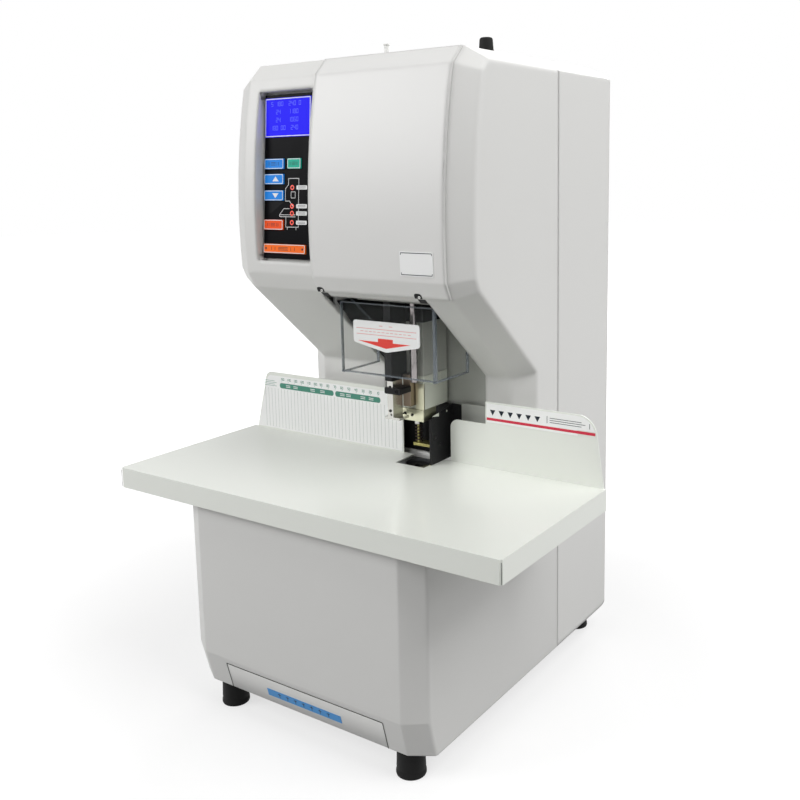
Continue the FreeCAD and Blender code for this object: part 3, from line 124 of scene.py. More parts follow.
zinc_primer = finish_of("zinc_primer", (0.36, 0.36, 0.355), 0.45, metal=0.3, grain=0.0001)
frame_grey = finish_of("frame_grey", (0.25, 0.25, 0.25), 0.5, grain=0.0001)
black_enamel = finish_of("black_enamel", (0.012, 0.012, 0.013), 0.35, grain=0.00005)
bright_steel = finish_of("bright_steel", (0.56, 0.56, 0.56), 0.24, metal=1.0, grain=0.00002,
                         grain_scale=300, run=(1, 1, 14))
core_varnish = finish_of("core_varnish", (0.16, 0.13, 0.10), 0.5, metal=0.4, grain=0.0002,
                         grain_scale=120, run=(1, 1, 12))
wear("bottom_plate", zinc_primer)
wear("column_frame", frame_grey)
wear("table_brackets", frame_grey)
wear("transformer", core_varnish, 0.001)
wear("lift_motor", black_enamel, 0.0015)
wear("guide_rods", bright_steel)
wear("lead_screw", bright_steel)


# Four feet of black rubber, moulded as tapered plugs with a rolled foot edge, each held by a zinc
# screw that sits in a recess from below.
def net(grid, ring=False):
    """Points and faces of a grid whose columns go round. Each face joins a point, the next one round,
    and the same two of the following row. The ends are closed flat, or as a ring the last row meets
    the first."""
    rows, columns = grid.shape[:2]
    index = np.arange(rows * columns).reshape(rows, columns)
    if ring:
        index = np.vstack([index, index[:1]])
    after = np.roll(index, -1, axis=1)
    quads = np.stack([index[:-1], after[:-1], after[1:], index[1:]], axis=-1).reshape(-1, 4)
    faces = quads.tolist()
    if not ring:
        faces += [index[0][::-1].tolist(), index[-1].tolist()]
    return grid.reshape(-1, 3), faces


def turned(profile, at, axis=2, steps=40):
    """A grid turned about an axis through a point: each profile pair is a radius and a place along
    the axis, and the angle runs once round in equal steps. All in millimetres."""
    profile = np.asarray(profile, float)
    angle = np.linspace(0, 2 * np.pi, steps, endpoint=False)
    radius, along = profile[:, :1], profile[:, 1:]
    first, second = (axis + 1) % 3, (axis + 2) % 3
    grid = np.zeros((len(profile), steps, 3))
    grid[..., first] = radius * np.cos(angle) + at[0]
    grid[..., second] = radius * np.sin(angle) + at[1]
    grid[..., axis] = along
    return grid


def build(name, parts, material, body, instead=(), smooth=30, soft=0.0):
    """One piece out of (points, faces) parts in millimetres. It rides on a body, may stand for CAD
    nodes, and is shaded smooth up to an angle. With soft, its edges get a bevel of that width."""
    points = np.vstack([part[0] for part in parts]) / 1000
    starts = np.cumsum([0] + [len(part[0]) for part in parts[:-1]])
    faces = [[int(corner) + int(start) for corner in face]
             for start, part in zip(starts, parts) for face in part[1]]
    mesh = bpy.data.meshes.new(name)
    mesh.from_pydata(points.tolist(), [], faces)
    mesh.shade_smooth()
    mesh.set_sharp_from_angle(angle=math.radians(smooth))
    mesh.materials.append(material)
    piece = bpy.data.objects.new(name, mesh)
    bpy.context.scene.collection.objects.link(piece)
    if soft:
        rounded = piece.modifiers.new("rounded", "BEVEL")
        rounded.width = soft
        rounded.segments = 2
        rounded.limit_method = "ANGLE"
        rounded.angle_limit = math.radians(35)
        rounded.harden_normals = True
    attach(piece, body)
    if instead:
        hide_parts(*instead)
    return piece


rubber = finish_of("rubber", (0.012, 0.012, 0.012), 0.62, grain=0.00025, grain_scale=700, cloud=0.2)
zinc = finish_of("zinc", (0.60, 0.60, 0.575), 0.3, metal=1.0, grain=0.00004, grain_scale=500)
FOOT_TOP = 40.0
foot_low, foot_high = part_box("feet")
FOOT_RADIUS = 14.0
foot_profile = [(2.6, 6), (4.8, 6), (4.8, 0.6), (5.4, 0), (12.6, 0), (13.6, 0.5), (14.0, 1.6), (13.9, 4.0),
                (13.3, 5.2), (13.2, 6.4), (13.5, 7.6), (12.5, 33.5), (12.3, 36.5), (12.0, FOOT_TOP),
                (2.6, FOOT_TOP)]
foot_sides = [foot_low.x * 1000 + FOOT_RADIUS, foot_high.x * 1000 - FOOT_RADIUS]
foot_ends = [foot_low.y * 1000 + FOOT_RADIUS, foot_high.y * 1000 - FOOT_RADIUS]
build("rubber_feet", [net(turned(foot_profile, (x, y)), ring=True) for x in foot_sides for y in foot_ends],
      rubber, "machine", ["feet"])
wear("foot_screws", zinc, 0.0004)


# The two moulded housings of head and base with the rear cover and the chip drawer: pale warm grey
# plastic with a fine spark-eroded grain. The shells are hollow and meet in a groove around the machine.
SHELL_GREY = (0.690, 0.688, 0.672)
shell_plastic = finish_of("shell_plastic", SHELL_GREY, 0.42, grain=0.00012, grain_scale=1400, cloud=0.012,
                          round_over=0.006)
# The base and the drawer sit under the table: their plastic is painted six per cent darker than the head's,
# as painted shade from the table.
PAINTED_TABLE_SHADE = 0.94
shaded_base_plastic = finish_of("shaded_base_plastic", [PAINTED_TABLE_SHADE * share for share in SHELL_GREY], 0.45, grain=0.00016,
                         grain_scale=1400, cloud=0.015, round_over=0.002)
for name in ("head_shell", "base_shell", "rear_cover"):
    wear(name, shaded_base_plastic if name == "base_shell" else shell_plastic)
wear("drawer", shaded_base_plastic, 0.0006)


# The visor: a thicker moulded strip over the middle of the head's front, smooth where the shell is
# grained, clipped on from the front. Its blank plate is white film in a thin dark printed frame.
visor_plastic = finish_of("visor_plastic", (0.715, 0.712, 0.698), 0.36, grain=0.00008, grain_scale=1400,
                          cloud=0.010, round_over=0.006)
wear("visor", visor_plastic)
INK = 0.04


def bars(lines, width, low=-INK, high=INK):
    """Flat bars: each line of (x, y, x, y) becomes a box as wide as width, from low to high above the
    plane. The corners are the ends, moved to both sides along the line's own normal. Without a low and
    a high it is a print, as thick as ink on both sides of the plane, as are the next two forms."""
    lines = np.asarray(lines, float).reshape(-1, 4)
    width = np.broadcast_to(np.asarray(width, float), (len(lines),))[:, None]
    start, stop = lines[:, :2], lines[:, 2:]
    run = stop - start
    run = run / np.maximum(np.linalg.norm(run, axis=1, keepdims=True), 1e-9)
    side = np.stack([-run[:, 1], run[:, 0]], axis=1) * width / 2
    start, stop = start - run * width * 0.25, stop + run * width * 0.25
    corners = np.stack([start - side, stop - side, stop + side, start + side], axis=1)
    points = np.zeros((len(lines), 2, 4, 3))
    points[..., :2] = corners[:, None]
    points[:, 0, :, 2], points[:, 1, :, 2] = low, high
    cube = np.array([[3, 2, 1, 0], [4, 5, 6, 7], [0, 1, 5, 4], [1, 2, 6, 5], [2, 3, 7, 6], [3, 0, 4, 7]])
    faces = (np.arange(len(lines))[:, None, None] * 8 + cube).reshape(-1, 4)
    return points.reshape(-1, 3), faces.tolist()


def slab(outline, low=-INK, high=INK):
    """A flat plate with a given outline, counter-clockwise, from low to high above the plane."""
    outline = np.asarray(outline, float)
    grid = np.zeros((2, len(outline), 3))
    grid[:, :, :2] = outline
    grid[0, :, 2], grid[1, :, 2] = low, high
    return net(grid)


def rounded_box(x, y, corner, steps=5):
    """The outline of a rectangle with round corners: a quarter circle at each, one after the other."""
    corner = np.broadcast_to(np.asarray(corner, float), (4,))
    turn = np.linspace(0, np.pi / 2, steps)
    outline = []
    for which, (side, end) in enumerate(((1, 0), (1, 1), (0, 1), (0, 0))):
        size = corner[which]
        middle = ((x[1] - size) if side else (x[0] + size), (y[1] - size) if end else (y[0] + size))
        angle = turn + (which - 1) * np.pi / 2
        outline.append(np.column_stack([middle[0] + size * np.cos(angle), middle[1] + size * np.sin(angle)]))
    return np.vstack(outline)


def ring_slab(outer, inner, low=-INK, high=INK):
    """A flat frame between two outlines of the same count: its section, a rectangle, goes once round."""
    rows = []
    for outline, height in ((outer, low), (outer, high), (inner, high), (inner, low)):
        rows.append(np.column_stack([np.asarray(outline, float), np.full(len(outline), height)]))
    return net(np.array(rows), ring=True)


def laid(part, origin, along, up):
    """Carry a flat part onto the object: x runs along one direction, y up another, and height along
    their cross product, from an origin in millimetres."""
    along, up = np.array(along, float), np.array(up, float)
    return part[0] @ np.array([along, up, np.cross(along, up)]) + np.array(origin, float), part[1]


# The name plate keeps its place but says nothing: a thin white film with a printed dark frame and one
# rule, glued to the visor, whose face leans forward a little there.
def reach(node):
    """A node's lowest and highest corner in millimetres, as arrays."""
    low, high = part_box(node)
    return np.array(low) * 1000, np.array(high) * 1000


RIGHT, UP = (1, 0, 0), (0, 0, 1)
white_film = finish_of("white_film", (0.88, 0.885, 0.88), 0.3)
dark_ink = finish_of("dark_ink", (0.02, 0.025, 0.035), 0.4)
wear("name_plate", white_film)
plate_low, plate_high = reach("name_plate")
plate_size = plate_high - plate_low
PLATE_FILM, FRAME_OUT, FRAME_IN, RULE_RISE = 0.6, 0.8, 1.5, 7.4
plate_up = np.array([0, plate_low[1] - plate_high[1] + PLATE_FILM, plate_size[2]])
plate_up = plate_up / np.linalg.norm(plate_up)
plate_at = (plate_low[0], plate_high[1] - PLATE_FILM, plate_low[2])
plate_frame = ring_slab(rounded_box((FRAME_OUT, plate_size[0] - FRAME_OUT),
                                    (FRAME_OUT, plate_size[2] - FRAME_OUT), 0.8),
                        rounded_box((FRAME_IN, plate_size[0] - FRAME_IN),
                                    (FRAME_IN, plate_size[2] - FRAME_IN), 0.4))
plate_rule = bars([(FRAME_IN, RULE_RISE, plate_size[0] - FRAME_IN, RULE_RISE)], 0.6)
build("plate_frame", [laid(part, plate_at, RIGHT, plate_up) for part in (plate_frame, plate_rule)],
      dark_ink, "machine")


# The control panel: one glossy black front plate, sunk into the head, with a blue crystal display, six
# sprung keys under film and a white line drawing. The circuit board stands behind it on posts.
def lit(material, strength):
    """Let a finish glow in its own colour."""
    shader = material.node_tree.nodes["Principled BSDF"]
    colour = shader.inputs["Base Color"].links[0].from_node.inputs["A"].default_value
    shader.inputs["Emission Color"].default_value = colour
    shader.inputs["Emission Strength"].default_value = strength
    return material


def circle(x, y, radius, steps=24):
    """The outline of a circle, in equal steps."""
    angle = np.linspace(0, 2 * np.pi, steps, endpoint=False)
    return np.column_stack([x + radius * np.cos(angle), y + radius * np.sin(angle)])


SEGMENTS = {"a": (0, 1, 1, 1), "b": (1, 0.5, 1, 1), "c": (1, 0, 1, 0.5), "d": (0, 0, 1, 0),
            "e": (0, 0, 0, 0.5), "f": (0, 0.5, 0, 1), "g": (0, 0.5, 1, 0.5)}
DIGITS = ("abcdef", "bc", "abged", "abgcd", "fgbc", "afgcd", "afgecd", "abc", "abcdefg", "abfgcd")
DIGIT_WIDE, DIGIT_PITCH = 0.55, 0.85


def number_lines(number, x, y, height):
    """A number as strokes: each digit is drawn with some of seven segments in a box as wide as a share
    of its height, and the next one follows at a share of the height. Blanks leave a gap."""
    lines = []
    for place, sign in enumerate(str(number)):
        if sign == " ":
            continue
        for letter in DIGITS[int(sign)]:
            ends = np.array(SEGMENTS[letter], float).reshape(2, 2) * (DIGIT_WIDE * height, height)
            lines.append((ends + (x + place * DIGIT_PITCH * height, y)).ravel())
    return lines


panel_low = reach("panel_plate")[0]
PANEL_THICK, PANEL_LEAN = 3.0, 4.52
panel_lean = math.radians(PANEL_LEAN)
lean_sin, lean_cos = math.sin(panel_lean), math.cos(panel_lean)
panel_at = np.array([panel_low[0], panel_low[1], panel_low[2] + PANEL_THICK * lean_sin])
panel_up = (0, lean_sin, lean_cos)


def on_panel(node):
    """A panel piece's left, right, low and high place on the panel's face and how far it stands out,
    solved from its box: the box's depth and height are sums of the piece's own depth and height, each
    times the cosine or the sine of the lean."""
    low, high = reach(node)
    depth, rise = (high - low)[1:]
    tall = (lean_cos * rise - lean_sin * depth) / (lean_cos ** 2 - lean_sin ** 2)
    up_to, front = high[2] - panel_at[2], low[1] - panel_at[1] + tall * lean_sin
    top = lean_cos * up_to + lean_sin * front
    lift = lean_sin * up_to - lean_cos * front
    return low[0] - panel_at[0], high[0] - panel_at[0], top - tall, top, lift


def on_face(parts, lift):
    """Flat parts laid on the panel's face, raised by lift."""
    at = panel_at + lift * np.array([0, -lean_cos, lean_sin])
    return [laid(part, at, RIGHT, panel_up) for part in parts]


panel_gloss = finish_of("panel_gloss", (0.004, 0.004, 0.005), 0.3, shine=0.03)
display_blue = lit(finish_of("display_blue", (0.012, 0.008, 0.60), 0.3, cloud=0.25, shine=0.04), 0.9)
display_pale = lit(finish_of("display_pale", (0.10, 0.12, 0.78), 0.3, shine=0.04), 0.45)
pale_rim = finish_of("pale_rim", (0.70, 0.78, 0.80), 0.35)
white_ink = finish_of("white_ink", (0.78, 0.78, 0.78), 0.4)
# The red rings and the keys glow a little, though no lamp is in them: painted light.
glowing_red_ink = lit(finish_of("glowing_red_ink", (0.85, 0.06, 0.03), 0.35), 0.25)
glowing_key_blue = lit(finish_of("glowing_key_blue", (0.008, 0.20, 0.66), 0.35, shine=0.12), 0.2)
glowing_key_green = lit(finish_of("glowing_key_green", (0.012, 0.36, 0.25), 0.35, shine=0.12), 0.2)
glowing_key_orange = lit(finish_of("glowing_key_orange", (0.75, 0.075, 0.012), 0.35, shine=0.12), 0.2)
glowing_key_amber = lit(finish_of("glowing_key_amber", (0.80, 0.14, 0.015), 0.35, shine=0.12), 0.2)
board_green = finish_of("board_green", (0.02, 0.16, 0.07), 0.35, coat=0.3)
wear("panel_plate", panel_gloss, 0.0005)
wear("display", display_blue, 0.0003)
wear("circuit_board", board_green, 0.0003)


def inner_frame(left, right, low, high, outside, inside, corners):
    """A printed frame in a rectangle: its outer and its inner line stand in from the sides by two
    margins, and each has its own corner radius."""
    outer = rounded_box((left + outside, right - outside), (low + outside, high - outside), corners[0])
    inner = rounded_box((left + inside, right - inside), (low + inside, high - inside), corners[1])
    return ring_slab(outer, inner)


left, right, low, high, lift = on_panel("display")
screen_frame = inner_frame(left, right, low, high, 0.5, 1.3, (0.9, 0.5))
build("screen_frame", on_face([screen_frame], lift), white_ink, "machine")
DISPLAY_ROWS = (" 5 180  240 0", "   24   1180", "   24   1060", " 180 00  240 ")
TEXT_HIGH, TEXT_LEFT, TEXT_DROP, TEXT_MARGIN, TEXT_STROKE = 3.9, 5.0, 3.9, 7.0, 0.5
row_pitch = (high - low - TEXT_MARGIN) / len(DISPLAY_ROWS)
first_row = high - TEXT_DROP - TEXT_HIGH
screen_lines = []
for row, text in enumerate(DISPLAY_ROWS):
    screen_lines += number_lines(text, left + TEXT_LEFT, first_row - row * row_pitch, TEXT_HIGH)
build("screen_digits", on_face([bars(screen_lines, TEXT_STROKE)], lift), display_pale,
      "machine")

KEY_COLOURS = {"key_drill": ("drill_key", glowing_key_blue), "key_heat": ("heat_key", glowing_key_green),
               "key_up": ("up_key", glowing_key_blue), "key_down": ("down_key", glowing_key_blue),
               "key_rivet": ("rivet_key", glowing_key_orange), "key_start": ("start_key", glowing_key_amber)}
ARROW_RIGHT, ARROW_HALF, ARROW_FOOT, ARROW_TIP = 2.5, 4.2, 2.2, 2.6
DOT_INSET, DOT_RADIUS, MARK_STROKE = 3.4, 1.1, 0.45
for key, (body, colour) in KEY_COLOURS.items():
    wear(key, colour, 0.0004)
    left, right, low, high, lift = on_panel(key)
    rim = inner_frame(left, right, low, high, 0.25, 0.9, (1.1, 0.7))
    build(key + "_rim", on_face([rim], lift), pale_rim, body)
    middle, centre = (left + right) / 2, (low + high) / 2
    if key in ("key_up", "key_down"):
        way = 1 if key == "key_up" else -1
        middle += ARROW_RIGHT
        arrow = np.array([(middle - ARROW_HALF * way, centre - ARROW_FOOT * way),
                          (middle + ARROW_HALF * way, centre - ARROW_FOOT * way),
                          (middle, centre + ARROW_TIP * way)])
        build(key + "_mark", on_face([slab(arrow)], lift), white_ink, body)
        continue
    half = (right - left) * 0.30
    ticks = [(middle + share * half, centre - 1.6, middle + share * half, centre + 1.6)
             for share in (-1, -0.72, 0.55, 0.85)]
    ticks += [(middle - 0.45 * half, centre + y, middle + 0.3 * half, centre + y) for y in (-1.3, 0, 1.3)]
    marks = [bars(ticks, MARK_STROKE)]
    if key == "key_start":
        for x in (left + DOT_INSET, right - DOT_INSET):
            marks.append(slab(circle(x, centre, DOT_RADIUS)))
    build(key + "_mark", on_face(marks, lift), dark_ink, body)

RING_HIGH, RING_X, RING_OUT, RING_IN = (70.2, 52.0, 45.0, 36.0), 37.5, 2.5, 1.3
LABEL_X, LABEL_HALF, LABEL_TEXT = (43.0, 57.0), 2.0, (45.0, 55.0)
outline_lines = [(32.5, 79, 46, 79), (46, 79, 46, 31.5), (32.5, 79, 32.5, 73), (32.5, 73, 28.5, 69),
                 (28.5, 69, 28.5, 57), (28.5, 57, 34, 57), (34, 57, 39.5, 51), (21, 43.5, 42, 43.5),
                 (21, 43.5, 26.5, 49.5), (26.5, 49.5, 34, 49.5), (21, 43.5, 21, 41.6),
                 (21, 41.6, 42, 41.6), (29.5, 41.6, 29.5, 31.5), (29.5, 31.5, 46, 31.5),
                 (31.5, 31.5, 31.5, 29), (43, 31.5, 43, 29), (41.5, 60, 41.5, 66), (36, 60, 36, 66),
                 (36, 60, 41.5, 60), (36, 66, 41.5, 66)]
labels, label_lines, rings = [], [], []
for height in RING_HIGH:
    labels.append(slab(rounded_box(LABEL_X, (height - LABEL_HALF, height + LABEL_HALF), 1.0), -INK, 2 * INK))
    label_lines += [(LABEL_TEXT[0], height + y, LABEL_TEXT[1], height + y) for y in (-0.6, 0.6)]
    rings.append(ring_slab(circle(RING_X, height, RING_OUT), circle(RING_X, height, RING_IN), -INK, 2 * INK))
build("panel_drawing", on_face([bars(outline_lines, 0.5), *labels], 0.0),
      white_ink, "machine")
build("panel_words", on_face([bars(label_lines, 0.4, -INK, 3 * INK)], 0.0), dark_ink,
      "machine")
build("panel_rings", on_face(rings, 0.0), glowing_red_ink, "machine")


# The panel's recess has round corners: four fillets of the shell's own plastic, moulded with it. Each is
# a corner of the recess, closed by a hollow quarter circle, and reaches a little into both walls.
panel_left, panel_right, panel_down, panel_over = on_panel("panel_plate")[:4]
PANEL_EDGE, CORNER, FILLET_LOW, FILLET_HIGH, FILLET_BITE = 2.5, 6.5, -2.9, 3.7, 0.2
fillet_turn = np.linspace(0, np.pi / 2, 9)
fillets = []
for x, side in ((panel_left - PANEL_EDGE, 1), (panel_right + PANEL_EDGE, -1)):
    for y, rise in ((panel_down - PANEL_EDGE, 1), (panel_over + PANEL_EDGE, -1)):
        outline = np.vstack([[(x - FILLET_BITE * side, y - FILLET_BITE * rise)],
                             np.column_stack([x + side * CORNER * (1 - np.sin(fillet_turn)),
                                              y + rise * CORNER * (1 - np.cos(fillet_turn))])])
        outline = outline if side * rise > 0 else outline[::-1]
        fillets.append(slab(outline, FILLET_LOW, FILLET_HIGH))
build("recess_fillets", on_face(fillets, 0.0), shell_plastic, "machine")


# The table is one sheet of steel, folded down to a skirt and up to two fences, and painted a pale
# greenish white. The folds are round, and the skirt's corners meet in a thin open seam.
table_paint = finish_of("table_paint", (0.765, 0.785, 0.735), 0.30, grain=0.00006, grain_scale=260,
                        cloud=0.012, coat=0.15)
seam_dark = finish_of("seam_dark", (0.05, 0.055, 0.05), 0.6)
wear("table", table_paint, 0.0007, 4)
table_low, table_high = reach("table")
FENCE_HIGH, SKIRT = 68.0, 21.0
table_top = table_high[2] - FENCE_HIGH
CORNER_INSET, SEAM_FROM, SEAM_TO, SEAM_WIDE = 0.205, 1.2, SKIRT - 2.2, 0.4
seams = []
for side, corner in ((-1, table_low[0] + CORNER_INSET), (1, table_high[0] - CORNER_INSET)):
    seam = bars([(0, SEAM_FROM, 0, SEAM_TO)], SEAM_WIDE, -0.3, 0.03)
    along = np.array([1, side, 0]) / math.sqrt(2)
    seams.append(laid(seam, (corner, table_low[1] + CORNER_INSET, table_top - SKIRT), along, UP))
build("corner_seams", seams, seam_dark, "machine")


# The ruler is a printed white film on the left fence: thin lines every 5 mm, a number every 10 mm, two
# green bands with white bars in them, and a few plain marks at its left end.
ruler_grey = finish_of("ruler_grey", (0.44, 0.48, 0.45), 0.45)
ruler_green = finish_of("ruler_green", (0.035, 0.22, 0.15), 0.4)
wear("ruler_strip", white_film)
ruler_at = (0, reach("ruler_strip")[0][1], table_top)
LINE_FROM, LINE_TO, LINE_STEP, LINE_LOW, LINE_HIGH = -205, -15, 5, 3.2, 49.0
rules = [(x, LINE_LOW, x, LINE_HIGH) for x in range(LINE_FROM, LINE_TO + 1, LINE_STEP)]
BANDS = ((-182.0, -101.0), (-98.5, -35.5))
BAND_LOW, BAND_HIGH = 50.2, 56.4
bands, band_bars = [], []
for start, stop in BANDS:
    bands.append(slab(rounded_box((start, stop), (BAND_LOW, BAND_HIGH), 2.6)))
    for share in (0.16, 0.30, 0.62, 0.80):
        x = start + (stop - start) * share
        band_bars += [(x - 3.0, BAND_LOW + y, x + 3.0, BAND_LOW + y) for y in (2.2, 4.0)]
ruler_numbers, number_ticks, side_marks = [], [], []
NUMBER_HIGH, NUMBER_FOOT, NUMBER_STEP, NUMBER_FROM, NUMBER_COUNT = 2.5, 59.6, 10, -28.5, 15
for step in range(1, NUMBER_COUNT + 1):
    x = NUMBER_FROM - NUMBER_STEP * step
    ruler_numbers += number_lines(NUMBER_STEP * step, x - 2.2, NUMBER_FOOT, NUMBER_HIGH)
    number_ticks.append((x, NUMBER_FOOT - 2.0, x, NUMBER_FOOT - 1.0))
for row in range(4):
    height = 52.0 + 1.9 * row
    side_marks.append((-208.0, height, -187.0 - 3.0 * (row % 2), height))
build("ruler_lines", [laid(bars(rules, 0.45), ruler_at, RIGHT, UP)], ruler_grey,
      "machine")
build("ruler_bands", [laid(part, ruler_at, RIGHT, UP) for part in bands], ruler_green,
      "machine")
build("ruler_bars", [laid(bars(band_bars, 0.8, -INK, 2 * INK), ruler_at, RIGHT, UP)], white_ink,
      "machine")
build("ruler_numbers", [laid(bars(ruler_numbers, 0.42), ruler_at, RIGHT, UP),
                        laid(bars(number_ticks + side_marks, 0.4), ruler_at, RIGHT, UP)],
      ruler_green, "machine")


# The limit film on the right fence's raised tab: white, printed with a red line that marks the highest
# stack, arrows that point down to it and a few thin rules. Its end follows the tab's round corner.
limit_red = finish_of("limit_red", (0.60, 0.012, 0.045), 0.35)
wear("limit_strip", white_film)
limit_low, limit_high = reach("limit_strip")
limit_at = (0, limit_low[1], table_top)
LIMIT_LINE, LINE_END, LINE_THICK, TAIL_RISE, FILM_BACK = 51.0, 214.4, 2.7, 2.2, -0.29
TAB_X, TAB_Z, TAB_ROUND = 197.0, 48.0, 18.4
tail_turn = np.linspace(math.radians(18), math.radians(90), 10)
tail = np.vstack([[(limit_high[0] - 0.01, LIMIT_LINE + TAIL_RISE), (LINE_END + 0.2, LIMIT_LINE + TAIL_RISE)],
                  np.column_stack([TAB_X + TAB_ROUND * np.cos(tail_turn),
                                   TAB_Z + TAB_ROUND * np.sin(tail_turn)])])
red_line = bars([(limit_low[0] + 0.8, LIMIT_LINE, LINE_END, LIMIT_LINE)], LINE_THICK, FILM_BACK, INK)
build("limit_tail", [laid(slab(tail, FILM_BACK, 0.0), limit_at, RIGHT, UP)], white_film,
      "machine")
build("limit_line", [laid(red_line, limit_at, RIGHT, UP)], limit_red, "machine")
ARROW_FROM, ARROW_STEP, ARROW_COUNT, ARROW_SIDE, ARROW_LOW, ARROW_HIGH = 104.5, 10.0, 6, 3.1, 55.0, 60.6
limit_marks = []
for place in range(ARROW_COUNT):
    x = ARROW_FROM + ARROW_STEP * place
    limit_marks.append(slab([(x, ARROW_LOW), (x + ARROW_SIDE, ARROW_HIGH), (x - ARROW_SIDE, ARROW_HIGH)]))
limit_rules = [(165.0, 55.6, 165.0, 62.4), (209.5, 55.6, 209.5, 60.4)]
for row in (-1, 0, 1):
    height = 58.6 + 2.1 * row
    limit_rules.append((168, height, 205 - 4 * (row % 2), height))
limit_marks.append(bars(limit_rules, 0.55))
build("limit_marks", [laid(part, limit_at, RIGHT, UP) for part in limit_marks], dark_ink,
      "machine")


# The die under the table's notch: a dark plate with a black nylon pad to drill against, and a zinc
# chute that leads the paper chips down into the drawer.
die_dark = finish_of("die_dark", (0.045, 0.047, 0.05), 0.38, metal=0.6, grain=0.00003)
pad_black = finish_of("pad_black", (0.012, 0.012, 0.013), 0.5)
wear("die_plate", die_dark, 0.0004)
wear("drill_pad", pad_black, 0.0004)
wear("chip_chute", zinc)


# The housing of bent black sheet behind the notch, the yellow zinc strip that lies across it and the
# small brown spring that stands on the strip's pin.
housing_black = finish_of("housing_black", (0.018, 0.018, 0.019), 0.42, grain=0.0001)
yellow_zinc = finish_of("yellow_zinc", (0.33, 0.30, 0.11), 0.35, metal=0.8)
spring_brown = finish_of("spring_brown", (0.045, 0.028, 0.018), 0.5, metal=0.3)
wear("tool_housing", housing_black, 0.0004)
wear("cross_strip", yellow_zinc, 0.0003)
wear("drill_spring", spring_brown)


# The guard is clear acrylic sheet, glued at its corners. Its sawn edges show as grey lines. It turns on
# two shouldered screws in the head's ears and carries a printed pointer plate.
def clear_of(material, share):
    """Let light through a finish, all but a share of it."""
    material.node_tree.nodes["Principled BSDF"].inputs["Alpha"].default_value = share
    return material


acrylic = clear_of(finish_of("acrylic", (0.60, 0.64, 0.63), 0.06, shine=0.25), 0.02)
acrylic_edge = clear_of(finish_of("acrylic_edge", (0.16, 0.19, 0.22), 0.12), 0.62)
pink_ink = finish_of("pink_ink", (0.75, 0.30, 0.28), 0.4)
arrow_red = finish_of("arrow_red", (0.75, 0.035, 0.02), 0.35)
wear("guard", acrylic)
wear("guard_screws", zinc, 0.0004)
guard_low, guard_high = reach("guard")
BACK = (0, 1, 0)
GUARD_SHEET, EDGE, CORNER_EDGE = 3.0, 1.1, 2.8
GUARD_TOP, GUARD_REAR_TOP, GUARD_STEP = 411.0, 377.0, 17.0
side_path = [(guard_low[1], guard_low[2]), (guard_high[1], guard_low[2]), (guard_high[1], GUARD_REAR_TOP),
             (guard_low[1] + GUARD_STEP, GUARD_TOP)]
edge_parts = []
side_runs = [(*start, *stop) for start, stop in zip(side_path, side_path[1:])]
for side in (guard_low[0], guard_high[0] - GUARD_SHEET):
    edge_parts.append(laid(bars(side_runs, EDGE, -INK, GUARD_SHEET + INK), (side, 0, 0), BACK, UP))
front_runs = [(guard_low[0] + EDGE / 2, guard_low[2], guard_low[0] + EDGE / 2, GUARD_TOP),
              (guard_high[0] - CORNER_EDGE / 2, guard_low[2], guard_high[0] - CORNER_EDGE / 2, GUARD_TOP),
              (guard_low[0], guard_low[2] + EDGE / 2, guard_high[0], guard_low[2] + EDGE / 2),
              (guard_low[0], GUARD_TOP - EDGE / 2, guard_high[0], GUARD_TOP - EDGE / 2)]
front_edges = bars(front_runs, (EDGE, CORNER_EDGE, EDGE, EDGE), -GUARD_SHEET - INK, INK)
edge_parts.append(laid(front_edges, (0, guard_low[1], 0), RIGHT, UP))
build("guard_edges", edge_parts, acrylic_edge, "guard_frame")


def softened(outline, radius, steps=4):
    """An outline with its corners rounded: each corner point becomes a short parabola that starts and
    ends a radius away from it, along its two sides."""
    outline = np.asarray(outline, float)
    share = np.linspace(0, 1, steps + 1)[:, None]
    rounded = []
    for before, point, after in zip(np.roll(outline, 1, axis=0), outline, np.roll(outline, -1, axis=0)):
        start = point + (before - point) * radius / np.linalg.norm(before - point)
        stop = point + (after - point) * radius / np.linalg.norm(after - point)
        rounded.append((1 - share) ** 2 * start + 2 * share * (1 - share) * point + share ** 2 * stop)
    return np.vstack(rounded)


pointer_low, pointer_high = reach("pointer_plate")
pointer_wide, pointer_tall = (pointer_high - pointer_low)[[0, 2]]
POINTER_SHOULDER, POINTER_ROUND, POINTER_THICK = 8.0, 2.8, 1.0
pointer_outline = softened([(pointer_wide / 2, 0), (pointer_wide, POINTER_SHOULDER),
                            (pointer_wide, pointer_tall), (0, pointer_tall), (0, POINTER_SHOULDER)],
                           POINTER_ROUND)
pointer_at = tuple(pointer_low)
arrow = [(5.2, 9.9), (40.0, 3.9), (69.2, 9.9), (48.3, 9.9), (48.3, 13.4), (30.3, 13.4), (30.3, 9.9)]
build("pointer_sign", [laid(slab(pointer_outline, -POINTER_THICK, 0.0), pointer_at, RIGHT, UP)], white_film,
      "guard_frame", ["pointer_plate"])
build("pointer_arrow", [laid(slab(arrow), pointer_at, RIGHT, UP)], arrow_red,
      "guard_frame")
pink_lines = [(4, 16.6, 76, 16.6), (4, 22.4, 76, 22.4)]
pink_lines += [(9 + 5.2 * place, 19.5, 12.4 + 5.2 * place, 19.5) for place in range(12)]
pink_lines += [(32, 25.8, 36, 25.8), (44, 25.8, 48, 25.8)]
build("pointer_lines", [laid(bars(pink_lines, 0.55), pointer_at, RIGHT, UP)], pink_ink,
      "guard_frame")
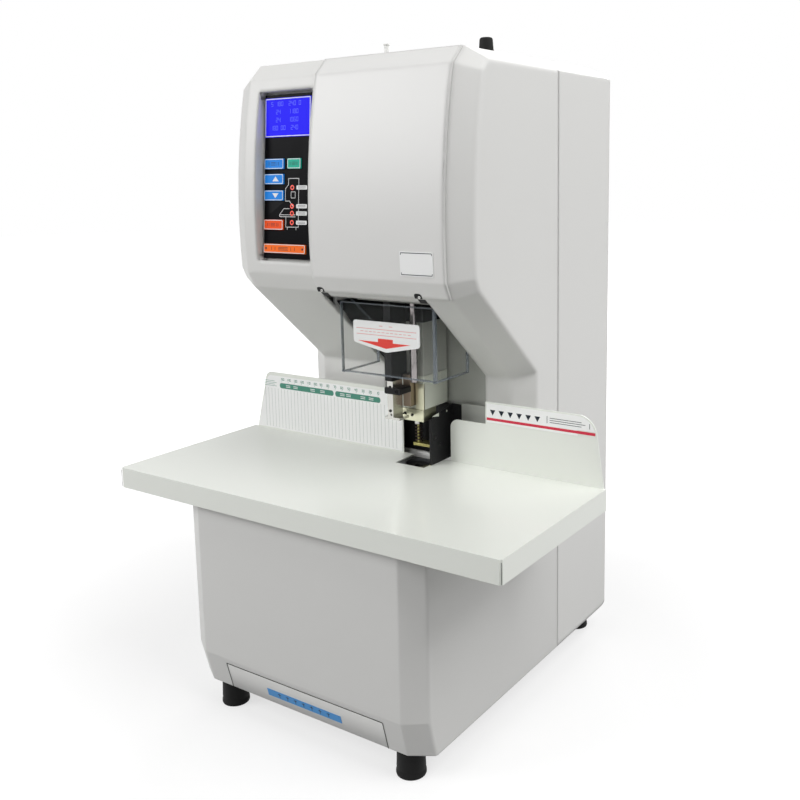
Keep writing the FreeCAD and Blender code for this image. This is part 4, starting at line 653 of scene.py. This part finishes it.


# The ram and its two tool stations. The ram is cast grey, painted darker as shade, with a lighter sleeve
# round its foot that is painted light and a black collar round its top that is painted shade. A grey shield
# stands behind it with a black top band, painted shade too. Then come the black riveting block, the chromed
# guide tube, the ground foot, the copper heater and the zinc bracket that guides the drill. Black screws hold
# the foot, its strap and the bracket.
shaded_cast_grey = finish_of("shaded_cast_grey", (0.47, 0.48, 0.44), 0.42, grain=0.0001)
lit_shoe_grey = finish_of("lit_shoe_grey", (0.68, 0.71, 0.62), 0.42, grain=0.0001)
recess_grey = finish_of("recess_grey", (0.42, 0.43, 0.40), 0.5, grain=0.0001)
tool_black = finish_of("tool_black", (0.014, 0.014, 0.015), 0.36, grain=0.00003)
chrome = finish_of("chrome", (0.27, 0.25, 0.25), 0.22, metal=1.0, cloud=0.3)
ground_steel = finish_of("ground_steel", (0.46, 0.455, 0.43), 0.26, metal=1.0, grain=0.00002,
                         grain_scale=400, run=(1, 1, 16))
copper = finish_of("copper", (0.25, 0.20, 0.155), 0.34, metal=1.0, cloud=0.25)
bright_zinc = finish_of("bright_zinc", (0.50, 0.50, 0.37), 0.30, metal=1.0, cloud=0.06)
wear("ram", shaded_cast_grey, 0.0006)
wear("carriage", shaded_cast_grey, 0.0008)
wear("tool_block", tool_black, 0.0006)
wear("guide_tube", chrome)
wear("press_foot", ground_steel, 0.0004)
wear("heater", copper, 0.0005)
wear("drill_bracket", bright_zinc, 0.0003)
FORWARD = (0, -1, 0)


def screw_head(at, way, radius, high):
    """A round head with a domed edge and a hollow in its middle: its profile turned about the screw's
    axis and laid so that it stands out along a direction."""
    profile = [(radius * 0.45, -0.2), (radius, -0.2), (radius, high * 0.55), (radius * 0.82, high),
               (radius * 0.5, high), (radius * 0.45, high * 0.35)]
    grid = turned(profile, (0, 0), steps=24)
    points, faces = net(grid, ring=True)
    way = np.array(way, float)
    along = np.array([0, 0, 1.0]) if abs(way[2]) < 0.5 else np.array([1.0, 0, 0])
    across = np.cross(along, way)
    return points @ np.array([across, along, way]) + np.array(at, float), faces


ram_low, ram_high = reach("ram")
# The shield is grey below and black in a band at its top: the black band is painted shade at the top of the
# mouth.
SHIELD_FACE, SHIELD_THICK, SHIELD_DROP, SHIELD_SIDES, SHADE_FROM = 12.6, 1.4, 8.0, (-34, 84), 381.0
shield = rounded_box(SHIELD_SIDES, (ram_low[2] - SHIELD_DROP, SHADE_FROM), 2.0)
build("ram_shield", [laid(slab(shield, -SHIELD_THICK, 0.0), (0, SHIELD_FACE, 0), RIGHT, UP)], recess_grey,
      "ram_head")
band = rounded_box(SHIELD_SIDES, (SHADE_FROM + 0.05, ram_high[2] - 0.2), 0.4)
build("shield_shade_band", [laid(slab(band, -SHIELD_THICK, 0.0), (0, SHIELD_FACE, 0), RIGHT, UP)], tool_black,
      "ram_head")


def around_ram(sheet, corners, low, high):
    """A sleeve around the ram, from low to high: a frame that stands out from the ram's sides by the
    sheet and bites a tenth of a millimetre into them, with its own corner radius outside and inside."""
    spread = np.array([-1, 1])
    x, y = (np.array([ram_low[axis], ram_high[axis]]) for axis in (0, 1))
    outer = rounded_box(x + spread * sheet, y + spread * sheet, corners[0])
    inner = rounded_box(x - spread * 0.1, y - spread * 0.1, corners[1])
    return laid(ring_slab(outer, inner, low, high), (0, 0, 0), RIGHT, BACK)


# The sleeve round the ram's foot is lighter than the ram above it: painted light on the foot and painted
# shade above. The black collar round the ram's top is painted shade at the top of the mouth.
LIT_SLEEVE_TOP, LIT_SLEEVE_SHEET, SHADE_COLLAR_FROM, SHADE_COLLAR_SHEET = 334.5, 0.55, 389.0, 0.5
build("ram_lit_sleeve", [around_ram(LIT_SLEEVE_SHEET, (1.2, 0.8), ram_low[2] + 0.2, LIT_SLEEVE_TOP)], lit_shoe_grey,
      "ram_head")
build("ram_shade_collar", [around_ram(SHADE_COLLAR_SHEET, (1.5, 1.0), SHADE_COLLAR_FROM, ram_high[2] - 0.1)], tool_black,
      "ram_head")
foot_low, foot_high = reach("press_foot")
bracket_low = reach("drill_bracket")[0]
strap_low, strap_high = reach("foot_strap")
STRAP_HIGH, STRAP_LIFT = 6.5, 2.5
strap_side = np.array([strap_low[1], strap_high[1]])
strap = rounded_box((strap_low[0], strap_high[0]), (0, STRAP_HIGH), 1.2)
build("strap_band", [laid(slab(strap, strap_side[0] - strap_side[1], 0.0),
                          (0, strap_side[0], strap_low[2] + STRAP_LIFT), RIGHT, UP)], tool_black,
      "ram_head", ["foot_strap"], soft=0.0003)
tool_heads = [screw_head((17, foot_low[1], foot_high[2] - 6), FORWARD, 1.5, 0.9),
              screw_head((17, foot_low[1], foot_low[2] + 9), FORWARD, 1.5, 0.9),
              screw_head(((strap_low[0] + strap_high[0]) / 2 + 5.0, strap_low[1],
                          strap_low[2] + STRAP_LIFT + STRAP_HIGH / 2), FORWARD, 1.7, 1.0)]
build("tool_screws", tool_heads, tool_black, "ram_head")
bracket_heads = [screw_head((bracket_low[0] + 4, bracket_low[1], bracket_low[2] + 6), FORWARD, 2.0, 1.2),
                 screw_head((bracket_low[0] + 13, bracket_low[1], bracket_low[2] + 6), FORWARD, 1.5, 0.9)]
build("bracket_screws", bracket_heads, tool_black, "ram_head")


# Inside the mouth: two black sheets inside the head's cheeks, painted shade on the mouth's dark sides, a grey
# painted cover plate on the housing's right wing, and two light grey patches on the housing's side plate,
# painted light where its two openings show lit parts.
MOUTH_LEFT, MOUTH_RIGHT, SHADE_SHEET_FROM, SHADE_SHEET_TO = -38.0, 88.0, 0.05, 0.6
cheek = [(-72.0, 410.8), (-50.4, 387.5), (-28.5, 366.5), (0.0, 343.0), (11.0, 334.5), (11.0, 410.8)]
cheeks = [laid(slab(cheek, SHADE_SHEET_FROM, SHADE_SHEET_TO), (MOUTH_LEFT, 0, 0), BACK, UP),
          laid(slab(cheek, -SHADE_SHEET_TO, -SHADE_SHEET_FROM), (MOUTH_RIGHT, 0, 0), BACK, UP)]
build("mouth_shade_sheets", cheeks, tool_black, "machine")
WING_SIDES, WING_FACE, WING_LOW, WING_OVER, WING_SHEET = (58.0, 87.4), 7.3, 262.0, 2.5, 1.6
wing = rounded_box(WING_SIDES, (WING_LOW, reach("tool_housing")[1][2] + WING_OVER), 1.0)
build("wing_cover", [laid(slab(wing, -WING_SHEET, 0.0), (0, WING_FACE, 0), RIGHT, UP)], recess_grey,
      "machine")
SIDE_FACE = 46.0
lit_openings = ([(-29.5, 292.6), (-17.0, 290.4), (-17.0, 294.2)], circle(-2.5, 293.0, 1.2, 16))
build("lit_plate_openings", [laid(slab(lit_opening), (SIDE_FACE, 0, 0), BACK, UP) for lit_opening in lit_openings],
      lit_shoe_grey, "machine")


# The two notches that are cut through the chin's edge above the guard's ears, each over the chin's slope and
# the lip under it, are
# drawn as black slabs: painted shade in the notches. A zinc screw head shows in each of them.
CHIN_EDGE, CHIN_SLOPE = (-101.0, 423.4), (0.46, 0.89)
LIP_EDGE, LIP_SLOPE, LIP_LONG = (-92.0, 418.0), (0.755, 0.656), 6.5
NOTCH_SIDES, NOTCH_ROUND = ((-36.4, -27.8), (79.2, 87.6)), (0.2, 2.8, 2.8, 0.2)
chin_up, lip_up = (np.array([0, -run, rise]) / math.hypot(run, rise) for run, rise in (CHIN_SLOPE, LIP_SLOPE))
notch_shades, notch_screws = [], []
for start, stop in NOTCH_SIDES:
    notch_shades.append(laid(slab(rounded_box((start, stop), (0.1, 5.6), NOTCH_ROUND), -INK, 2 * INK),
                        (0, *CHIN_EDGE), RIGHT, chin_up))
    notch_shades.append(laid(slab(rounded_box((start, stop), (0.2, LIP_LONG), 0.2), -INK, 2 * INK),
                        (0, *LIP_EDGE), RIGHT, lip_up))
    screw_at = np.array([(start + stop) / 2 + 1.2, *CHIN_EDGE]) + 1.9 * chin_up
    notch_screws.append(screw_head(screw_at, np.cross(RIGHT, chin_up), 1.5, 0.7))
build("chin_notch_shade", notch_shades, tool_black, "machine")
build("notch_screws", notch_screws, zinc, "machine")


# The drive in the head: the drill motor with its belt, the hollow spindle and drill, the pulleys, and
# the nylon tube's hose that leads down into the guide tube.
motor_shell = finish_of("motor_shell", (0.06, 0.06, 0.065), 0.35, metal=0.7)
turned_alloy = finish_of("turned_alloy", (0.58, 0.58, 0.57), 0.28, metal=1.0)
belt_rubber = finish_of("belt_rubber", (0.014, 0.014, 0.014), 0.6)
hose_white = finish_of("hose_white", (0.62, 0.63, 0.61), 0.35)
tube_white = finish_of("tube_white", (0.82, 0.82, 0.80), 0.35)
wear("drill_motor", motor_shell, 0.0006)
wear("motor_pulley", turned_alloy, 0.0003)
wear("drill_belt", belt_rubber)
wear("spindle", turned_alloy, 0.0003)
wear("hollow_drill", ground_steel)
wear("feed_hose", hose_white)


# The top of the head: a black bush around the nylon tube's end, which is belled a little, and the zinc
# pocket for spare tubes with a tapered black rubber cap, which is pushed into it.
wear("tube_bush", tool_black, 0.0003)
wear("spare_holder", zinc)
tube_low, tube_high = reach("nylon_tube")
tube_middle = (tube_low + tube_high)[:2] / 2
tube_half = (tube_high - tube_low)[0] / 2
TUBE_BORE = 1.8
tube_profile = [(TUBE_BORE, tube_low[2]), (2.5, tube_low[2]), (2.5, tube_high[2] - 1.6),
                (tube_half, tube_high[2] - 1.1), (tube_half, tube_high[2] - 0.2),
                (tube_half - 0.3, tube_high[2]), (TUBE_BORE + 0.2, tube_high[2]),
                (TUBE_BORE, tube_high[2] - 0.3)]
build("nylon_stub", [net(turned(tube_profile, tube_middle, steps=32), ring=True)], tube_white, "tube",
      ["nylon_tube"])
cap_low, cap_high = reach("holder_cap")
cap_middle = (cap_low + cap_high)[:2] / 2
CAP_RADIUS, CAP_TOP, CAP_HIGH = 7.5, 6.0, 14.05
cap_base = cap_high[2] - CAP_HIGH
cap_profile = [(2.0, cap_low[2]), (6.3, cap_low[2]), (6.7, cap_low[2] + 0.8), (6.7, cap_base),
               (7.3, cap_base), (CAP_RADIUS, cap_base + 0.3), (CAP_RADIUS - 0.1, cap_base + 2.4),
               (CAP_RADIUS - 0.6, cap_base + 2.9), (CAP_TOP + 0.3, cap_high[2] - 2.2),
               (CAP_TOP - 0.2, cap_high[2] - 0.9), (CAP_TOP - 1.2, cap_high[2] - 0.2), (2.0, cap_high[2])]
build("rubber_cap", [net(turned(cap_profile, cap_middle, steps=36))], rubber, "cap",
      ["holder_cap"])


# The chip drawer's blue strip is film on the sloping front, printed with a row of plain marks. The gap
# between the drawer's front and the base shows as a thin dark line at both sides and above.
strip_blue = finish_of("strip_blue", (0.02, 0.25, 0.62), 0.4)
wear("drawer_strip", strip_blue)
strip_low, strip_high = reach("drawer_strip")
FILM = 0.3
strip_at = (strip_low[0], strip_high[1] - FILM, strip_low[2])
strip_up = np.array([0, strip_low[1] - strip_high[1] + FILM, strip_high[2] - strip_low[2]])
strip_length = np.linalg.norm(strip_up)
strip_up = strip_up / strip_length
MARK_COUNT, MARK_FROM, MARK_STEP, MARK_HALF, MARK_FOOT = 7, 15.5, 10.2, 1.8, 1.9
marks = []
for place in range(MARK_COUNT):
    x = MARK_FROM + MARK_STEP * place
    height = 0.62 * strip_length
    marks += [(x - MARK_HALF, height, x + MARK_HALF, height), (x, MARK_FOOT, x, 0.75 * strip_length)]
build("strip_marks", [laid(bars(marks, 0.75), strip_at, RIGHT, strip_up)], dark_ink,
      "chip_drawer")

drawer_low, drawer_high = reach("drawer")
gap_at = (0, strip_at[1] + (strip_low[2] - drawer_low[2]) * -strip_up[1] / strip_up[2], drawer_low[2])
gap_high = (drawer_high[2] - drawer_low[2]) / strip_up[2]
GAP, GAP_DEEP, GAP_OUT = 0.55, 0.6, 0.15
gap_lines = [(drawer_low[0] - GAP_OUT, 0, drawer_low[0] - GAP_OUT, gap_high),
             (drawer_high[0] + GAP_OUT, 0, drawer_high[0] + GAP_OUT, gap_high),
             (drawer_low[0], gap_high + GAP_OUT, drawer_high[0], gap_high + GAP_OUT)]
build("drawer_gap", [laid(bars(gap_lines, GAP, -GAP_DEEP, 0.25 * INK), gap_at, RIGHT, strip_up)], seam_dark,
      "machine")


# The rear: the fan with its rotor behind the grille, the mains inlet with metal pins, the rocker switch
# and cross-slotted screws that hold the cover.
fan_black = finish_of("fan_black", (0.016, 0.016, 0.017), 0.4)
wear("fan", fan_black, 0.0005)
wear("fan_rotor", fan_black)
wear("power_inlet", fan_black, 0.0004)
wear("rocker", tool_black, 0.0005)
inlet_low, inlet_high = reach("power_inlet")
ENTRY_X, INLET_WIDE, PIN_RADIUS, PIN_DEEP = -80.0, 48.0, 2.4, 18.0
entry_z = (inlet_low[2] + inlet_high[2]) / 2
PIN_LENGTH, SLEEVE = 14.0, 0.12
pin_foot = inlet_high[1] - PIN_DEEP
pin_tip = pin_foot + PIN_LENGTH
pin_profile = [(PIN_RADIUS - 0.3, pin_foot + 1.0), (PIN_RADIUS + SLEEVE, pin_foot + 1.0),
               (PIN_RADIUS + SLEEVE, pin_tip - 0.9), (PIN_RADIUS - 0.7, pin_tip + SLEEVE),
               (0.6, pin_tip + SLEEVE), (0.6, pin_tip - 0.5)]
sleeves = []
for side in (-1, 0, 1):
    pin_at = (entry_z, ENTRY_X + side * INLET_WIDE / 5)
    sleeves.append(net(turned(pin_profile, pin_at, axis=1, steps=20), ring=True))
build("pin_sleeves", sleeves, bright_steel, "machine")
screws_low, screws_high = reach("cover_screws")
SCREW_HEAD, SCREW_ROWS, SLOT_HALF = 4.5, 3, 2.2
screw_parts, slot_parts = [], []
for x in (screws_low[0] + SCREW_HEAD, screws_high[0] - SCREW_HEAD):
    for z in np.linspace(screws_low[2] + SCREW_HEAD, screws_high[2] - SCREW_HEAD, SCREW_ROWS):
        dome = [(0.4, screws_low[1]), (SCREW_HEAD, screws_low[1]), (SCREW_HEAD, screws_low[1] + 0.5),
                (3.6, screws_high[1] - 0.35), (2.2, screws_high[1] - 0.08), (0.4, screws_high[1] - 0.02)]
        screw_parts.append(net(turned(dome, (z, x), axis=1, steps=28)))
        # Each cross slot is a near-black recess: painted shade in the screw head's slots.
        cross = bars([(x - SLOT_HALF, z, x + SLOT_HALF, z), (x, z - SLOT_HALF, x, z + SLOT_HALF)], 0.8, 0, 0)
        points = cross[0].copy()
        height = np.where(np.arange(len(points)) % 8 < 4, screws_high[1] - 0.5, screws_high[1])
        slot_parts.append((np.column_stack([points[:, 0], height, points[:, 1]]),
                           [face[::-1] for face in cross[1]]))
build("cover_heads", screw_parts, zinc, "machine", ["cover_screws"])
build("cover_slots", slot_parts, dark_ink, "machine")


# The studio: a pale floor that keeps the machine's shadow, a white room around it, two strong soft lights
# from the front left and from above the right, and weaker ones for the front, the side and the back.
def camera_or_mirror(tree):
    """One for rays from the camera, from a glossy or from a clear surface, and nought for the others."""
    path = tree.nodes.new("ShaderNodeLightPath")
    first = tree.nodes.new("ShaderNodeMath")
    first.operation = "MAXIMUM"
    second = tree.nodes.new("ShaderNodeMath")
    second.operation = "MAXIMUM"
    tree.links.new(path.outputs["Is Camera Ray"], first.inputs[0])
    tree.links.new(path.outputs["Is Glossy Ray"], first.inputs[1])
    tree.links.new(first.outputs["Value"], second.inputs[0])
    tree.links.new(path.outputs["Is Transmission Ray"], second.inputs[1])
    return second.outputs["Value"]


def soft_light(name, place, size, power):
    """A square white area light that looks from its place at the middle of the machine."""
    lamp = bpy.data.lights.new(name, "AREA")
    lamp.shape = "RECTANGLE"
    lamp.size = lamp.size_y = size
    lamp.energy = power
    source = bpy.data.objects.new(name, lamp)
    source.location = place
    source.rotation_euler = (Vector(AIM) - Vector(place)).to_track_quat("-Z", "Y").to_euler()
    bpy.context.scene.collection.objects.link(source)


world = bpy.data.worlds.new("white_room")
world.use_nodes = True
bpy.context.scene.world = world
room = world.node_tree
background = room.nodes["Background"]
level = room.nodes.new("ShaderNodeMapRange")
level.inputs["To Min"].default_value = 0.08
level.inputs["To Max"].default_value = 1.0
room.links.new(camera_or_mirror(room), level.inputs["Value"])
room.links.new(level.outputs["Result"], background.inputs["Strength"])
background.inputs["Color"].default_value = (1, 1, 1, 1)

sweep = bpy.data.materials.new("studio_floor")
sweep.use_nodes = True
paper = sweep.node_tree
matt = paper.nodes["Principled BSDF"]
matt.inputs["Base Color"].default_value = (0.34, 0.34, 0.34, 1)
matt.inputs["Roughness"].default_value = 0.9
matt.inputs["Specular IOR Level"].default_value = 0.1
FLOOR_REACH, FLOOR_STEPS = 9.0, 60
FLOOR_LIFT, FAR_LIFT, LIFT_FROM, LIFT_TO = 0.66, 1.0, 0.30, 1.1
matt.inputs["Emission Color"].default_value = (1, 1, 1, 1)
glow = paper.nodes.new("ShaderNodeMath")
glow.operation = "MULTIPLY"
spot = paper.nodes.new("ShaderNodeTexCoord")
away = paper.nodes.new("ShaderNodeVectorMath")
away.operation = "LENGTH"
lift = paper.nodes.new("ShaderNodeMapRange")
lift.inputs["From Min"].default_value = LIFT_FROM
lift.inputs["From Max"].default_value = LIFT_TO
lift.inputs["To Min"].default_value = FLOOR_LIFT
lift.inputs["To Max"].default_value = FAR_LIFT
paper.links.new(spot.outputs["Object"], away.inputs[0])
paper.links.new(away.outputs["Value"], lift.inputs["Value"])
paper.links.new(lift.outputs["Result"], glow.inputs[1])
paper.links.new(camera_or_mirror(paper), glow.inputs[0])
paper.links.new(glow.outputs["Value"], matt.inputs["Emission Strength"])
turns = np.linspace(0, 2 * np.pi, FLOOR_STEPS, endpoint=False)
floor_mesh = bpy.data.meshes.new("studio_floor")
floor_mesh.from_pydata(np.column_stack([FLOOR_REACH * np.cos(turns), FLOOR_REACH * np.sin(turns),
                                        np.zeros(FLOOR_STEPS)]).tolist(), [], [list(range(FLOOR_STEPS))])
floor_mesh.materials.append(sweep)
floor = bpy.data.objects.new("studio_floor", floor_mesh)
bpy.context.scene.collection.objects.link(floor)
AIM = (0, 0, 0.33)
soft_light("left_key", (-1.9, -2.2, 1.6), 1.6, 50)
soft_light("right_key", (1.8, -0.2, 2.6), 1.6, 48)
soft_light("front_light", (0.2, -2.4, 2.4), 1.6, 22)
soft_light("side_light", (3.0, 0.3, 1.2), 1.6, 10)
soft_light("back_light", (2.4, 1.4, 1.8), 1.6, 22)
soft_light("rear_light", (-0.8, 3.2, 1.6), 1.8, 34)


# The camera stands at the photograph's angle: right of the machine's middle and a little above it. Its
# lens and its shift, which centres the picture where the photograph's own centre lies, are in pixels.
YAW, PITCH, ROLL = math.radians(34.057), math.radians(8.978), math.radians(-0.955)
EYE = (0.5757, -0.7956, 0.5359)
PICTURE, LENS_PIXELS, CENTRE_X, CENTRE_Y = 800, 950.1, 440.1, 322.6
SENSOR = 36.0
ahead = Vector((-math.sin(YAW) * math.cos(PITCH), math.cos(YAW) * math.cos(PITCH), -math.sin(PITCH)))
right = Vector((math.cos(YAW), math.sin(YAW), 0))
upward = right.cross(ahead)
across = math.cos(ROLL) * right + math.sin(ROLL) * upward
above = -math.sin(ROLL) * right + math.cos(ROLL) * upward
lens = bpy.data.cameras.new("camera")
lens.sensor_width = SENSOR
lens.lens = SENSOR * LENS_PIXELS / PICTURE
lens.shift_x = (PICTURE / 2 - CENTRE_X) / PICTURE
lens.shift_y = (CENTRE_Y - PICTURE / 2) / PICTURE
lens.clip_start, lens.clip_end = 0.02, 50
eye = bpy.data.objects.new("camera", lens)
eye.matrix_world = Matrix((across, above, -ahead)).transposed().to_4x4()
eye.location = EYE
bpy.context.scene.collection.objects.link(eye)
bpy.context.scene.camera = eye
bpy.context.scene.view_settings.view_transform = "Standard"
